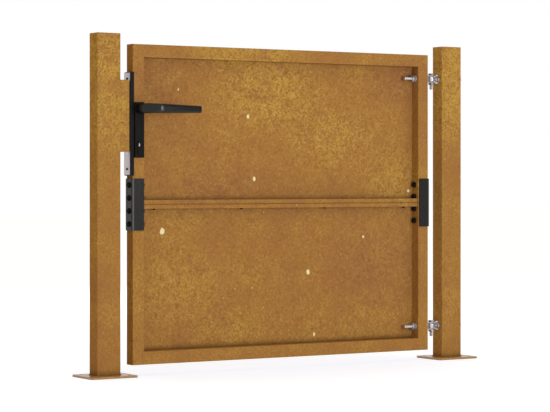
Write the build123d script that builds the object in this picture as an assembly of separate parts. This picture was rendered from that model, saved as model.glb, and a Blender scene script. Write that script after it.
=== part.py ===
from build123d import *
import os
from math import radians, sin, sqrt

# Weathering steel garden gate: two posts and one leaf that is bolted together from two halves.
# Millimetres. X runs along the gate from the latch post to the hinge post, Y from front to rear, Z up.
# The origin is on the ground, midway between the posts. Radii end in _R, gaps round a fit end in _FIT.

# How far a cut runs on past the face that it opens
CUT = 1.0

# Posts and their base plates
POST_W = 60.0
POST_D = 40.0
POST_WALL = 2.0
POST_R = 2.0
POST_RISE = 23.0
CAP_T = 3.0
CAP_EDGE_R = 1.5
CAP_SKIRT = 15.0
CAP_SKIRT_WALL = 2.0
CAP_FIT = 0.2
BASE_MARGIN = 30.0
BASE_T = 5.0
BASE_R = 5.0
BASE_HOLE_R = 5.5
BASE_HOLE_EDGE = 15.0

# Leaf: a mitred tube frame in two halves, each with a sheet panel and a middle channel
LATCH_GAP = 34.0
LEAF_W = 840.0
LEAF_H = 740.0
LEAF_BOTTOM = 25.0
HALVES_GAP = 0.1
TUBE = 30.0
TUBE_WALL = 2.0
TUBE_R = 1.2
PANEL_T = 2.0
PANEL_SETBACK = 1.0
CHANNEL_H = 10.0
CHANNEL_WALL = 2.0
CHANNEL_EDGE_R = 1.5
CHANNEL_HEAD_GAP = 1.0
CHANNEL_BOLT_R = 3.0
CHANNEL_BOLT_FIT = 0.2
CHANNEL_BOLT_EDGE = 34.5
CHANNEL_BOLT_COUNT = 4
CHANNEL_BOLT_AF = 10.0
CHANNEL_BOLT_HEAD_H = 4.0
CHANNEL_BOLT_NUT_H = 5.0
CHANNEL_BOLT_END = 6.2

# Angle brackets that join the halves, with their bolts
BRACKET_H = 120.0
BRACKET_T = 3.0
BRACKET_FRONT_LEG = 31.0
BRACKET_SIDE_LEG = 32.0
BRACKET_INNER_R = 1.0
BOLT_R = 4.0
BOLT_FIT = 0.2
BOLT_PITCH = 30.0
BOLT_HEAD_R = 7.0
BOLT_HEAD_H = 6.0
BOLT_HEAD_EDGE_R = 1.5
BOLT_SOCKET = 5.0
BOLT_SOCKET_DEPTH = 3.5
BOLT_NUT_AF = 13.0
BOLT_NUT_H = 4.0
BOLT_END = 1.5
THREAD_FIT = 0.05

# Hinges: a fork on a threaded rod in the leaf, and an eyebolt through the hinge post
HINGE_EDGE = 59.0
PIN_R = 4.0
PIN_FIT = 0.08
PIN_HEAD_AF = 13.0
PIN_HEAD_H = 4.5
PIN_NUT_H = 5.0
PIN_TAIL = 12.0
EYE_R = 9.0
EYE_H = 12.0
EYE_FIT = 0.5
FORK_W = 16.0
FORK_PRONG_T = 3.0
FORK_BASE_T = 4.0
FORK_EYE_GAP = 5.0
ROD_R = 5.0
ROD_REACH = 35.0
ROD_CHAMFER = 1.0
SLEEVE_WALL = 1.45
SLEEVE_FIT = 0.1
SLEEVE_COLLAR = 3.0
SLEEVE_FLANGE = 2.5
SLEEVE_FLANGE_T = 2.0
EYEBOLT_END = 4.0
EYEBOLT_HOLE_FIT = 0.25
EYE_NUT_GAP = 3.0
FLANGE_NUT_AF = 16.0
FLANGE_NUT_H = 8.0
FLANGE_NUT_FLANGE_R = 11.0
FLANGE_NUT_FLANGE_T = 2.0

# Strike box on the latch post
STRIKE_H = 165.0
STRIKE_RISE = 18.0
STRIKE_WALL = 2.0
STRIKE_EDGE_R = 1.2
STRIKE_CLEARANCE = 4.5
STRIKE_LATCH_FIT = 0.7
STRIKE_DEAD_FIT = 1.5

# Lock: the housing and forend on the latch stile, and the case behind them
LOCK_BRACKET_GAP = 6.5
HOUSING_T = 5.0
HOUSING_RIM = 0.7
HOUSING_LIP_T = 1.5
HOUSING_LIP_FIT = 0.5
HOUSING_EDGE_R = 1.0
FOREND_T = 2.0
FOREND_FIT = 0.1
FOREND_MARGIN = 2.0
FOREND_SCREW_EDGE = 13.5
FOREND_SCREW_R = 2.0
FOREND_SCREW_HEAD_R = 3.0
FOREND_SCREW_HEAD_H = 1.6
FOREND_SCREW_REACH = 8.0
SCREW_FIT = 0.2
CASE_ABOVE_LEVER = 55.0
CASE_BELOW_KEY = 42.0
CASE_SCREW_GAP = 14.0
CASE_D = 16.0
CASE_WALL = 1.0
CASE_FIT = 0.5
CASE_BACK_FIT = 1.0

# Handles: escutcheons, levers, spindle and the follower in the case
PLATE_MARGIN = 3.0
PLATE_T = 6.0
PLATE_ABOVE_LEVER = 15.0
PLATE_BELOW_KEY = 30.0
PLATE_CORNER_R = 2.0
PLATE_EDGE_R = 1.0
PLATE_SCREW_R = 2.0
PLATE_SCREW_HEAD_R = 3.5
PLATE_SCREW_HEAD_H = 2.5
PLATE_SCREW_GRIP = 3.0
PLATE_SCREW_GAP = 8.0
SPINDLE = 8.0
SPINDLE_FIT = 0.05
SPINDLE_HOLE_FIT = 0.5
SPINDLE_REACH = 18.0
LEVER_LENGTH = 138.5
LEVER_STANDOFF = 49.0
LEVER_T = 13.0
LEVER_BEND_R = 35.0
LEVER_ROOT_TOP = 12.0
LEVER_ROOT_BOTTOM = 11.5
LEVER_TIP_TOP = 7.0
LEVER_TIP_BOTTOM = 9.0
LEVER_TIP_R = 3.5
LEVER_EDGE_R = 2.0
LEVER_NECK_R = 11.5
LEVER_NECK_L = 20.0
LEVER_NECK_EDGE_R = 1.0
LEVER_FIT = 0.3
LEVER_TURN = 30.0
GRUB_R = 2.0
GRUB_SETBACK = 12.0
HUB_BOSS_WALL = 0.85
HUB_BOSS_FIT = 0.08
HUB_STEP = 2.0
HUB_SIDE_FIT = 1.0
ARM_RISE = 4.0
ARM_W = 4.6

# Latch bolt and its spring
LATCH_TRAVEL = 5.5
LATCH_STRIKE_GAP = 0.5
LATCH_H = 16.0
LATCH_D = 12.0
LATCH_LIFT = 1.0
LATCH_NOTCH = 6.4
LATCH_NOTCH_FIT = 0.6
LATCH_BACK_FIT = 0.5
LATCH_NOSE = 2.0
BOLT_WINDOW_FIT = 0.5
SPRING_R = 2.3
SPRING_WIRE_R = 0.35
SPRING_TURNS = 7
SPRING_BORE_FIT = 0.4
SPRING_BORE = 14.0
SPRING_DROP = 5.0
SPRING_FIT = 0.3

# Profile cylinder, its cam and the dead bolt
KEY_DROP = 83.0
CYLINDER_R = 8.5
CYLINDER_H = 33.0
CYLINDER_TAIL = 10.0
CYLINDER_PROUD = 2.0
CYLINDER_FIT = 0.3
CYLINDER_SCREW_R = 2.4
CYLINDER_SCREW_HEAD_R = 4.4
CYLINDER_SCREW_RISE = 6.0
PLUG_R = 5.5
PLUG_FIT = 0.05
KEYWAY_W = 2.0
KEYWAY_H = 8.0
KEYWAY_DEPTH = 16.0
CAM_GAP = 10.0
CAM_SIDE_FIT = 0.4
CAM_INSET = 0.5
CAM_UNDER_FIT = 1.5
CAM_TOOTH = 5.5
CAM_TOOTH_W = 4.4
CAM_PITCH_RISE = 3.0
CAM_START = 25.0
CAM_TURN = 70.0
DEAD_H = 15.2
DEAD_D = 8.0
DEAD_LIFT = 0.8
DEAD_NOTCH = 7.6
DEAD_NOTCH_FIT = 0.6
DEAD_BACK_FIT = 0.5
DEAD_FLUSH = 0.3

# Sizes that follow from others
FORK_H = EYE_H + 2 * EYE_FIT + 2 * FORK_PRONG_T
SLEEVE_R = ROD_R + THREAD_FIT + SLEEVE_WALL
SLEEVE_FLANGE_R = SLEEVE_R + SLEEVE_FLANGE
PIN_OFFSET = SLEEVE_FLANGE_T + FORK_BASE_T + FORK_EYE_GAP + EYE_R
HINGE_GAP = PIN_OFFSET + EYE_R + EYE_NUT_GAP + FLANGE_NUT_H
CASE_H = CASE_ABOVE_LEVER + KEY_DROP + CASE_BELOW_KEY
FOREND_SCREW_PITCH = CASE_H + 2 * CASE_SCREW_GAP
FOREND_H = FOREND_SCREW_PITCH + 2 * FOREND_SCREW_EDGE
HOUSING_H = FOREND_H + 2 * FOREND_MARGIN
HOUSING_LIP = PLATE_MARGIN - HOUSING_LIP_FIT
PLATE_W = TUBE - 2 * PLATE_MARGIN
HUB_BOSS_R = SPINDLE / sqrt(2) + HUB_BOSS_WALL
HUB_R = HUB_BOSS_R + HUB_STEP
ARM_R = HUB_R + ARM_RISE
SPINDLE_HOLE_R = HUB_BOSS_R + SPINDLE_HOLE_FIT
SOCKET_HALF = SPINDLE / 2 + SPINDLE_FIT
CAM_R = CYLINDER_R - CAM_INSET
CAM_TOOTH_R = CAM_R + CAM_TOOTH
CAM_PITCH_R = CAM_R + CAM_PITCH_RISE
DEAD_THROW = CAM_PITCH_R * (sin(radians(CAM_START)) - sin(radians(CAM_START - CAM_TURN)))

# Places along the gate
SPAN = 2 * POST_W + LATCH_GAP + LEAF_W + HINGE_GAP
LATCH_POST_X = (POST_W - SPAN) / 2
HINGE_POST_X = (SPAN - POST_W) / 2
LATCH_FACE = LATCH_POST_X + POST_W / 2
HINGE_FACE = HINGE_POST_X - POST_W / 2
LEAF_X0 = LATCH_FACE + LATCH_GAP
LEAF_X1 = LEAF_X0 + LEAF_W
PIN_X = LEAF_X1 + PIN_OFFSET
LOCK_X = LEAF_X0 + TUBE / 2
HOUSING_FACE = LEAF_X0 - HOUSING_T
FOREND_FACE = HOUSING_FACE - FOREND_T
STRIKE_FACE = FOREND_FACE - STRIKE_CLEARANCE
CASE_BACK = LEAF_X0 + TUBE - TUBE_WALL - CASE_BACK_FIT
CASE_REAR = CASE_BACK - CASE_WALL
CHANNEL_BOLT_X0 = LEAF_X0 + TUBE + CHANNEL_BOLT_EDGE
CHANNEL_BOLT_PITCH = (LEAF_W - 2 * TUBE - 2 * CHANNEL_BOLT_EDGE) / (CHANNEL_BOLT_COUNT - 1)
CHANNEL_BOLT_XS = [CHANNEL_BOLT_X0 + CHANNEL_BOLT_PITCH * step for step in range(CHANNEL_BOLT_COUNT)]
LATCH_TIP = STRIKE_FACE + LATCH_STRIKE_GAP
LATCH_END = CASE_REAR - LATCH_BACK_FIT - LATCH_TRAVEL

# Places from front to rear
LEAF_Y = TUBE / 2
PLATE_FACE = LEAF_Y + PLATE_T
PANEL_Y1 = LEAF_Y - PANEL_SETBACK
PANEL_Y0 = PANEL_Y1 - PANEL_T
CHANNEL_Y0 = -BOLT_HEAD_R - CHANNEL_HEAD_GAP - CHANNEL_WALL
CHANNEL_BOLT_Y = (CHANNEL_Y0 + PANEL_Y0) / 2
CYLINDER_END = PLATE_FACE + CYLINDER_PROUD
CASE_Y = CASE_D / 2
CAM_Y = CAM_GAP / 2 - CAM_SIDE_FIT

# Heights
LEAF_TOP = LEAF_BOTTOM + LEAF_H
GATE_H = LEAF_TOP + POST_RISE
MID_Z = LEAF_BOTTOM + LEAF_H / 2
UPPER_Z0 = MID_Z + HALVES_GAP / 2
LOWER_Z1 = MID_Z - HALVES_GAP / 2
HINGE_ZS = (LEAF_BOTTOM + HINGE_EDGE, LEAF_TOP - HINGE_EDGE)
BOLT_ZS = [MID_Z + BOLT_PITCH * step for step in (-1.5, -0.5, 0.5, 1.5)]
LOCK_Z = MID_Z + BRACKET_H / 2 + LOCK_BRACKET_GAP + HOUSING_H / 2
STRIKE_Z = LOCK_Z + STRIKE_RISE
CASE_Z0 = LOCK_Z - CASE_H / 2
CASE_Z1 = LOCK_Z + CASE_H / 2
FOREND_SCREW_ZS = (LOCK_Z - FOREND_SCREW_PITCH / 2, LOCK_Z + FOREND_SCREW_PITCH / 2)
LEVER_Z = CASE_Z1 - CASE_ABOVE_LEVER
KEY_Z = LEVER_Z - KEY_DROP
CYLINDER_SCREW_Z = KEY_Z + CYLINDER_R - CYLINDER_H + CYLINDER_SCREW_RISE
LATCH_Z0 = LEVER_Z + HUB_R + LATCH_LIFT
SPRING_Z = LATCH_Z0 + LATCH_H - SPRING_DROP
DEAD_Z0 = KEY_Z + CAM_R + DEAD_LIFT
PLATE_SCREW_ZS = (DEAD_Z0 + DEAD_H + PLATE_SCREW_GAP,
                  LEVER_Z - LEVER_NECK_R - PLATE_SCREW_HEAD_R - PLATE_SCREW_GAP)

# Longer than the gate is deep, for cuts right through it
THROUGH = 2 * POST_D


def block(x, y, z):
    """Box between two limits on each axis."""
    limits = (x, y, z)
    middle = [(low + high) / 2 for low, high in limits]
    size = [high - low for low, high in limits]
    return Pos(*middle) * Box(*size)


def rod_x(radius, x, y, z):
    """Round bar along X between two limits."""
    return Pos((x[0] + x[1]) / 2, y, z) * Rot(0, 90, 0) * Cylinder(radius, x[1] - x[0])


def rod_y(radius, x, y, z):
    """Round bar along Y between two limits."""
    return Pos(x, (y[0] + y[1]) / 2, z) * Rot(90, 0, 0) * Cylinder(radius, y[1] - y[0])


def rod_z(radius, x, y, z):
    """Round bar along Z between two limits."""
    return Pos(x, y, (z[0] + z[1]) / 2) * Cylinder(radius, z[1] - z[0])


def hexagon(across_flats, height):
    """Hexagonal bar standing on the origin."""
    return extrude(RegularPolygon(across_flats / 2, 6, major_radius=False), amount=height)


def hex_x(across_flats, x, y, z):
    """Hexagonal bar along X between two limits."""
    return Pos(x[0], y, z) * Rot(0, 90, 0) * hexagon(across_flats, x[1] - x[0])


def hex_z(across_flats, x, y, z):
    """Hexagonal bar along Z between two limits."""
    return Pos(x, y, z[0]) * hexagon(across_flats, z[1] - z[0])


def upright_prism(points, y):
    """Outline in X and Z, carried along Y between two limits."""
    face = Plane.XZ * make_face(Polyline(*points, close=True))
    return Pos(0, y[1], 0) * extrude(face, amount=y[1] - y[0])


def tube(width, depth, wall, radius, length):
    """Hollow section with rounded outer edges, standing on the origin."""
    outer = RectangleRounded(width, depth, radius)
    inner = Rectangle(width - 2 * wall, depth - 2 * wall)
    return extrude(outer - inner, amount=length)


def bolt_windows(x, latch_fit, dead_fit):
    """Openings that let the latch bolt and the dead bolt through a wall, with a clearance round each."""
    bolts = ((LATCH_H, LATCH_D, LATCH_Z0, latch_fit), (DEAD_H, DEAD_D, DEAD_Z0, dead_fit))
    return [block(x, (-depth / 2 - fit, depth / 2 + fit), (z0 - fit, z0 + height + fit))
            for height, depth, z0, fit in bolts]


# Posts

def post_tube(x):
    """Rectangular tube between the base plate and the cap."""
    length = GATE_H - BASE_T - CAP_T
    return Pos(x, 0, BASE_T) * tube(POST_W, POST_D, POST_WALL, POST_R, length)


def post_cap(x):
    """Closing plate with softened top edges and a skirt that plugs the tube."""
    plate = extrude(RectangleRounded(POST_W, POST_D, POST_R), amount=CAP_T)
    plate = fillet(plate.faces().sort_by(Axis.Z)[-1].edges(), CAP_EDGE_R)
    skirt_w = POST_W - 2 * POST_WALL - 2 * CAP_FIT
    skirt_d = POST_D - 2 * POST_WALL - 2 * CAP_FIT
    skirt = Rectangle(skirt_w, skirt_d)
    skirt -= Rectangle(skirt_w - 2 * CAP_SKIRT_WALL, skirt_d - 2 * CAP_SKIRT_WALL)
    return Pos(x, 0, GATE_H - CAP_T) * (plate + extrude(skirt, amount=-CAP_SKIRT))


def base_plate(x):
    """Foot plate with a bolt hole near each corner."""
    width = POST_W + 2 * BASE_MARGIN
    depth = POST_D + 2 * BASE_MARGIN
    outline = RectangleRounded(width, depth, BASE_R)
    holes = GridLocations(width - 2 * BASE_HOLE_EDGE, depth - 2 * BASE_HOLE_EDGE, 2, 2)
    outline -= holes * Circle(BASE_HOLE_R)
    return Pos(x, 0, 0) * extrude(outline, amount=BASE_T)


def hinge_post_tube():
    """Hinge post with a hole through both side walls for each eyebolt."""
    body = post_tube(HINGE_POST_X)
    for z in HINGE_ZS:
        body -= rod_x(ROD_R + EYEBOLT_HOLE_FIT, (HINGE_FACE - CUT, HINGE_FACE + POST_W + CUT), 0, z)
    return body


def strike_box():
    """Four walls on the latch post, open towards it and towards the strike plate."""
    x = (LATCH_FACE, STRIKE_FACE - STRIKE_WALL)
    half_d = POST_D / 2
    half_h = STRIKE_H / 2
    inner_d = half_d - STRIKE_WALL
    inner_h = half_h - STRIKE_WALL
    hollow = block((x[0] - CUT, x[1] + CUT), (-inner_d, inner_d), (STRIKE_Z - inner_h, STRIKE_Z + inner_h))
    return block(x, (-half_d, half_d), (STRIKE_Z - half_h, STRIKE_Z + half_h)) - hollow


def strike_plate():
    """Plate that closes the strike box, with a window for each bolt of the lock."""
    x = (STRIKE_FACE - STRIKE_WALL, STRIKE_FACE)
    half_h = STRIKE_H / 2
    body = block(x, (-POST_D / 2, POST_D / 2), (STRIKE_Z - half_h, STRIKE_Z + half_h))
    body = fillet(body.faces().sort_by(Axis.X)[-1].edges(), STRIKE_EDGE_R)
    for window in bolt_windows((x[0] - CUT, x[1] + CUT), STRIKE_LATCH_FIT, STRIKE_DEAD_FIT):
        body -= window
    return body


# Leaf frame

def rail(z_outer, up):
    """Mitred rail along X. up is 1 for the top rail and -1 for the bottom rail."""
    lying = Rot(0, 90, 0) * tube(TUBE, TUBE, TUBE_WALL, TUBE_R, LEAF_W)
    z_inner = z_outer - up * TUBE
    body = Pos(LEAF_X0, 0, (z_outer + z_inner) / 2) * lying
    points = [(LEAF_X0, z_outer), (LEAF_X1, z_outer), (LEAF_X1 - TUBE, z_inner), (LEAF_X0 + TUBE, z_inner)]
    return body & upright_prism(points, (-THROUGH, THROUGH))


def stile(x_outer, inward, z_joint, z_outer):
    """Mitred upright from the joint between the halves to the outer corner, drilled for the bolts."""
    x_inner = x_outer + inward * TUBE
    up = 1 if z_outer > z_joint else -1
    length = abs(z_outer - z_joint)
    body = Pos((x_outer + x_inner) / 2, 0, min(z_joint, z_outer))
    body = body * tube(TUBE, TUBE, TUBE_WALL, TUBE_R, length)
    points = [(x_outer, z_joint), (x_outer, z_outer), (x_inner, z_outer - up * TUBE), (x_inner, z_joint)]
    body &= upright_prism(points, (-THROUGH, THROUGH))
    x = (min(x_outer, x_inner) - CUT, max(x_outer, x_inner) + CUT)
    for z in BOLT_ZS:
        if (z - z_joint) * up > 0:
            body -= rod_x(BOLT_R + BOLT_FIT, x, 0, z)
    return body


def hinge_stile(z_joint, z_outer, z_hinge):
    """Hinge-side upright with the hole for its hinge sleeve."""
    body = stile(LEAF_X1, -1, z_joint, z_outer)
    return body - rod_x(SLEEVE_R + SLEEVE_FIT, (LEAF_X1 - TUBE - CUT, LEAF_X1 + CUT), 0, z_hinge)


def lock_stile():
    """Upper latch-side upright with the cut-outs for the lock."""
    body = stile(LEAF_X0, 1, UPPER_Z0, LEAF_TOP)
    wall = (LEAF_X0 - CUT, LEAF_X0 + TUBE_WALL + CUT)
    side = CASE_Y + CASE_FIT
    body -= block(wall, (-side, side), (CASE_Z0 - CASE_FIT, CASE_Z1 + CASE_FIT))
    for z in FOREND_SCREW_ZS:
        body -= rod_x(FOREND_SCREW_R + SCREW_FIT, wall, 0, z)
    return body - lock_holes(LEAF_Y + CUT)


def lock_holes(reach):
    """What the spindle, the cylinder and the escutcheon screws need open, from -reach to reach in Y."""
    y = (-reach, reach)
    holes = rod_y(SPINDLE_HOLE_R, LOCK_X, y, LEVER_Z) + cylinder_bar(CYLINDER_FIT, y)
    for z in PLATE_SCREW_ZS:
        holes += rod_y(PLATE_SCREW_R + SCREW_FIT, LOCK_X, y, z)
    return holes


def panel(z0, z1):
    """Sheet set into the rear of the frame."""
    return block((LEAF_X0 + TUBE, LEAF_X1 - TUBE), (PANEL_Y0, PANEL_Y1), (z0, z1))


def middle_channel(z_joint, up):
    """Bent channel on the panel's edge, its web at the joint and drilled there, its open side away from it."""
    x = (LEAF_X0 + TUBE, LEAF_X1 - TUBE)
    z_lip = z_joint + up * CHANNEL_H
    z_web = z_joint + up * CHANNEL_WALL
    body = block(x, (CHANNEL_Y0, PANEL_Y0), sorted((z_joint, z_lip)))
    bend = body.edges().filter_by(Axis.X).sort_by_distance((LEAF_X0 + TUBE, CHANNEL_Y0, z_joint))[0]
    body = fillet(bend, CHANNEL_EDGE_R)
    hollow = (CHANNEL_Y0 + CHANNEL_WALL, PANEL_Y0 - CHANNEL_WALL)
    body -= block(x, hollow, sorted((z_web, z_lip + up * CUT)))
    through = sorted((z_joint - up * CUT, z_lip))
    for bolt_x in CHANNEL_BOLT_XS:
        body -= rod_z(CHANNEL_BOLT_R + CHANNEL_BOLT_FIT, bolt_x, CHANNEL_BOLT_Y, through)
    return body


def channel_bolt(x):
    """Hexagon bolt down through both channels, its head in the upper one."""
    z_seat = UPPER_Z0 + CHANNEL_WALL
    z_end = LOWER_Z1 - CHANNEL_WALL - CHANNEL_BOLT_NUT_H - CHANNEL_BOLT_END
    head = hex_z(CHANNEL_BOLT_AF, x, CHANNEL_BOLT_Y, (z_seat, z_seat + CHANNEL_BOLT_HEAD_H))
    return head + rod_z(CHANNEL_BOLT_R, x, CHANNEL_BOLT_Y, (z_end, z_seat))


def channel_nut(x):
    """Nut under the lower channel's web."""
    z_seat = LOWER_Z1 - CHANNEL_WALL
    z = (z_seat - CHANNEL_BOLT_NUT_H, z_seat)
    nut = hex_z(CHANNEL_BOLT_AF, x, CHANNEL_BOLT_Y, z)
    return nut - rod_z(CHANNEL_BOLT_R + THREAD_FIT, x, CHANNEL_BOLT_Y, z)


def at_each_channel_bolt(make):
    """One piece for every bolt along the channels."""
    return Compound([make(x).solid() for x in CHANNEL_BOLT_XS])


# Brackets and bolts

def bracket(x_face, inward):
    """Angle over the stile's outer face and front, bent with a round corner and drilled for the bolts."""
    x_back = x_face - inward * BRACKET_T
    y_front = -LEAF_Y - BRACKET_T
    z = (MID_Z - BRACKET_H / 2, MID_Z + BRACKET_H / 2)
    x = sorted((x_back, x_back + inward * BRACKET_FRONT_LEG))
    body = block(x, (y_front, y_front + BRACKET_SIDE_LEG), z)
    upright = body.edges().filter_by(Axis.Z)
    corner = upright.sort_by_distance((x_back, y_front, MID_Z))[0]
    body = fillet(corner, BRACKET_INNER_R + BRACKET_T)
    far = x_back + inward * (BRACKET_FRONT_LEG + CUT)
    hollow = block(sorted((x_face, far)), (-LEAF_Y, LEAF_Y + BRACKET_SIDE_LEG), (z[0] - CUT, z[1] + CUT))
    corner = hollow.edges().filter_by(Axis.Z).sort_by_distance((x_face, -LEAF_Y, MID_Z))[0]
    body -= fillet(corner, BRACKET_INNER_R)
    for bolt_z in BOLT_ZS:
        body -= rod_x(BOLT_R + BOLT_FIT, sorted((x_back - inward * CUT, x_face + inward * CUT)), 0, bolt_z)
    return body


BOLTED_FACES = ((LEAF_X0, 1), (LEAF_X1, -1))


def bracket_bolt(x_face, inward, z):
    """Round-headed socket bolt from the stile's inner face out through the bracket."""
    x_seat = x_face + inward * TUBE
    x_end = x_face - inward * (BRACKET_T + BOLT_NUT_H + BOLT_END)
    x_top = x_seat + inward * BOLT_HEAD_H
    head = rod_x(BOLT_HEAD_R, sorted((x_seat, x_top)), 0, z)
    rim = head.edges().filter_by(GeomType.CIRCLE).sort_by_distance((x_top, 0, z))[0]
    head = fillet(rim, BOLT_HEAD_EDGE_R)
    head -= hex_x(BOLT_SOCKET, sorted((x_top - inward * BOLT_SOCKET_DEPTH, x_top + inward * CUT)), 0, z)
    return head + rod_x(BOLT_R, sorted((x_seat, x_end)), 0, z)


def bracket_nut(x_face, inward, z):
    """Thin hexagon nut on the outside of the bracket."""
    x_seat = x_face - inward * BRACKET_T
    x = sorted((x_seat, x_seat - inward * BOLT_NUT_H))
    return hex_x(BOLT_NUT_AF, x, 0, z) - rod_x(BOLT_R + THREAD_FIT, x, 0, z)


def at_each_bolt(make):
    """One piece for every bolt place on both brackets."""
    return Compound([make(x, inward, z).solid() for x, inward in BOLTED_FACES for z in BOLT_ZS])


# Hinges

def hinge_fork(z):
    """Fork with two prongs round the pin, on a threaded rod that reaches through the stile."""
    x_seat = LEAF_X1 + SLEEVE_FLANGE_T
    x_prong = x_seat + FORK_BASE_T
    half_w = FORK_W / 2
    body = block((x_seat, PIN_X), (-half_w, half_w), (z - FORK_H / 2, z + FORK_H / 2))
    body += rod_z(half_w, PIN_X, 0, (z - FORK_H / 2, z + FORK_H / 2))
    inside = FORK_H / 2 - FORK_PRONG_T
    body -= block((x_prong, PIN_X + FORK_W), (-FORK_W, FORK_W), (z - inside, z + inside))
    body -= rod_z(PIN_R + PIN_FIT, PIN_X, 0, (z - FORK_H, z + FORK_H))
    x_end = LEAF_X1 - TUBE - ROD_REACH
    rod = rod_x(ROD_R, (x_end, x_seat), 0, z)
    tip = rod.edges().filter_by(GeomType.CIRCLE).sort_by(Axis.X)[0]
    return body + chamfer(tip, ROD_CHAMFER)


def hinge_sleeve(z):
    """Threaded bush through the stile, with a flange under the fork."""
    x_inner = LEAF_X1 - TUBE - SLEEVE_COLLAR
    x_outer = LEAF_X1 + SLEEVE_FLANGE_T
    body = rod_x(SLEEVE_R, (x_inner, x_outer), 0, z)
    body += rod_x(SLEEVE_FLANGE_R, (LEAF_X1, x_outer), 0, z)
    return body - rod_x(ROD_R + THREAD_FIT, (x_inner, x_outer), 0, z)


def hinge_pin(z):
    """Upright hexagon-headed bolt through the fork and the eye."""
    top = z + FORK_H / 2
    bottom = z - FORK_H / 2 - PIN_NUT_H - PIN_TAIL
    return rod_z(PIN_R, PIN_X, 0, (bottom, top)) + hex_z(PIN_HEAD_AF, PIN_X, 0, (top, top + PIN_HEAD_H))


def hinge_pin_nut(z):
    """Nut under the fork."""
    heights = (z - FORK_H / 2 - PIN_NUT_H, z - FORK_H / 2)
    return hex_z(PIN_HEAD_AF, PIN_X, 0, heights) - rod_z(PIN_R + THREAD_FIT, PIN_X, 0, heights)


def post_eyebolt(z):
    """Eye between the prongs, on a threaded shank right through the hinge post."""
    half = EYE_H / 2
    x_end = HINGE_FACE + POST_W + FLANGE_NUT_H + EYEBOLT_END
    body = rod_z(EYE_R, PIN_X, 0, (z - half, z + half)) + rod_x(ROD_R, (PIN_X, x_end), 0, z)
    return body - rod_z(PIN_R + PIN_FIT, PIN_X, 0, (z - FORK_H, z + FORK_H))


def flange_nut(x_seat, outward, z):
    """Nut with a round flange against the post."""
    x_top = x_seat + outward * FLANGE_NUT_H
    x_flange = x_seat + outward * FLANGE_NUT_FLANGE_T
    body = hex_x(FLANGE_NUT_AF, sorted((x_seat, x_top)), 0, z)
    body += rod_x(FLANGE_NUT_FLANGE_R, sorted((x_seat, x_flange)), 0, z)
    return body - rod_x(ROD_R + THREAD_FIT, sorted((x_seat, x_top)), 0, z)


def flange_nuts():
    """A nut on each side of the post for each eyebolt."""
    seats = ((HINGE_FACE, -1), (HINGE_FACE + POST_W, 1))
    return Compound([flange_nut(x, outward, z).solid() for x, outward in seats for z in HINGE_ZS])


def at_each_hinge(make):
    """One piece for each hinge."""
    return Compound([make(z).solid() for z in HINGE_ZS])


# Lock body

def lock_housing():
    """Cover on the stile's outer face, with lips round its corners and a rim along the forend's front edge."""
    half_h = HOUSING_H / 2
    side = LEAF_Y + HOUSING_LIP_T
    x_rim = FOREND_FACE - HOUSING_RIM
    tall = (LOCK_Z - HOUSING_H, LOCK_Z + HOUSING_H)
    body = block((x_rim, LEAF_X0 + HOUSING_LIP), (-side, side), (LOCK_Z - half_h, LOCK_Z + half_h))
    body -= block((x_rim - CUT, HOUSING_FACE), (-LEAF_Y - FOREND_FIT, side + CUT), tall)
    body -= block((LEAF_X0, LEAF_X0 + TUBE), (-LEAF_Y, LEAF_Y), tall)
    upright = body.edges().filter_by(Axis.Z)
    corners = ((x_rim, -side, LOCK_Z), (HOUSING_FACE, side, LOCK_Z))
    body = fillet([upright.sort_by_distance(corner)[0] for corner in corners], HOUSING_EDGE_R)
    through = (HOUSING_FACE - CUT, LEAF_X0 + CUT)
    side = CASE_Y + CASE_FIT
    body -= block(through, (-side, side), (CASE_Z0 - CASE_FIT, CASE_Z1 + CASE_FIT))
    for z in FOREND_SCREW_ZS:
        body -= rod_x(FOREND_SCREW_R + SCREW_FIT, through, 0, z)
    return body


def lock_forend():
    """Bright face plate with windows for the bolts and holes for the screws."""
    x = (FOREND_FACE, HOUSING_FACE)
    body = block(x, (-LEAF_Y, LEAF_Y), (LOCK_Z - FOREND_H / 2, LOCK_Z + FOREND_H / 2))
    through = (FOREND_FACE - CUT, HOUSING_FACE + CUT)
    for window in bolt_windows(through, BOLT_WINDOW_FIT, BOLT_WINDOW_FIT):
        body -= window
    for z in FOREND_SCREW_ZS:
        body -= rod_x(FOREND_SCREW_R + SCREW_FIT, through, 0, z)
    return body - cylinder_screw_shape(SCREW_FIT)


def forend_screw(z):
    """Pan-headed screw through forend, housing and stile."""
    head = rod_x(FOREND_SCREW_HEAD_R, (FOREND_FACE - FOREND_SCREW_HEAD_H, FOREND_FACE), 0, z)
    return head + rod_x(FOREND_SCREW_R, (FOREND_FACE, LEAF_X0 + FOREND_SCREW_REACH), 0, z)


def forend_screws():
    """Both screws of the forend."""
    return Compound([forend_screw(z).solid() for z in FOREND_SCREW_ZS])


def lock_case():
    """Sheet box behind the forend, open towards it, with holes for what passes through."""
    body = block((HOUSING_FACE, CASE_BACK), (-CASE_Y, CASE_Y), (CASE_Z0, CASE_Z1))
    inside = CASE_Y - CASE_WALL
    body -= block((HOUSING_FACE - CUT, CASE_REAR), (-inside, inside),
                  (CASE_Z0 + CASE_WALL, CASE_Z1 - CASE_WALL))
    y = (-CASE_D, CASE_D)
    body -= rod_y(HUB_BOSS_R + HUB_BOSS_FIT, LOCK_X, y, LEVER_Z)
    body -= cylinder_bar(CYLINDER_FIT, y)
    for z in PLATE_SCREW_ZS:
        body -= rod_y(PLATE_SCREW_R + SCREW_FIT, LOCK_X, y, z)
    return body


# Handles. side is -1 for the front and 1 for the rear.

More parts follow.
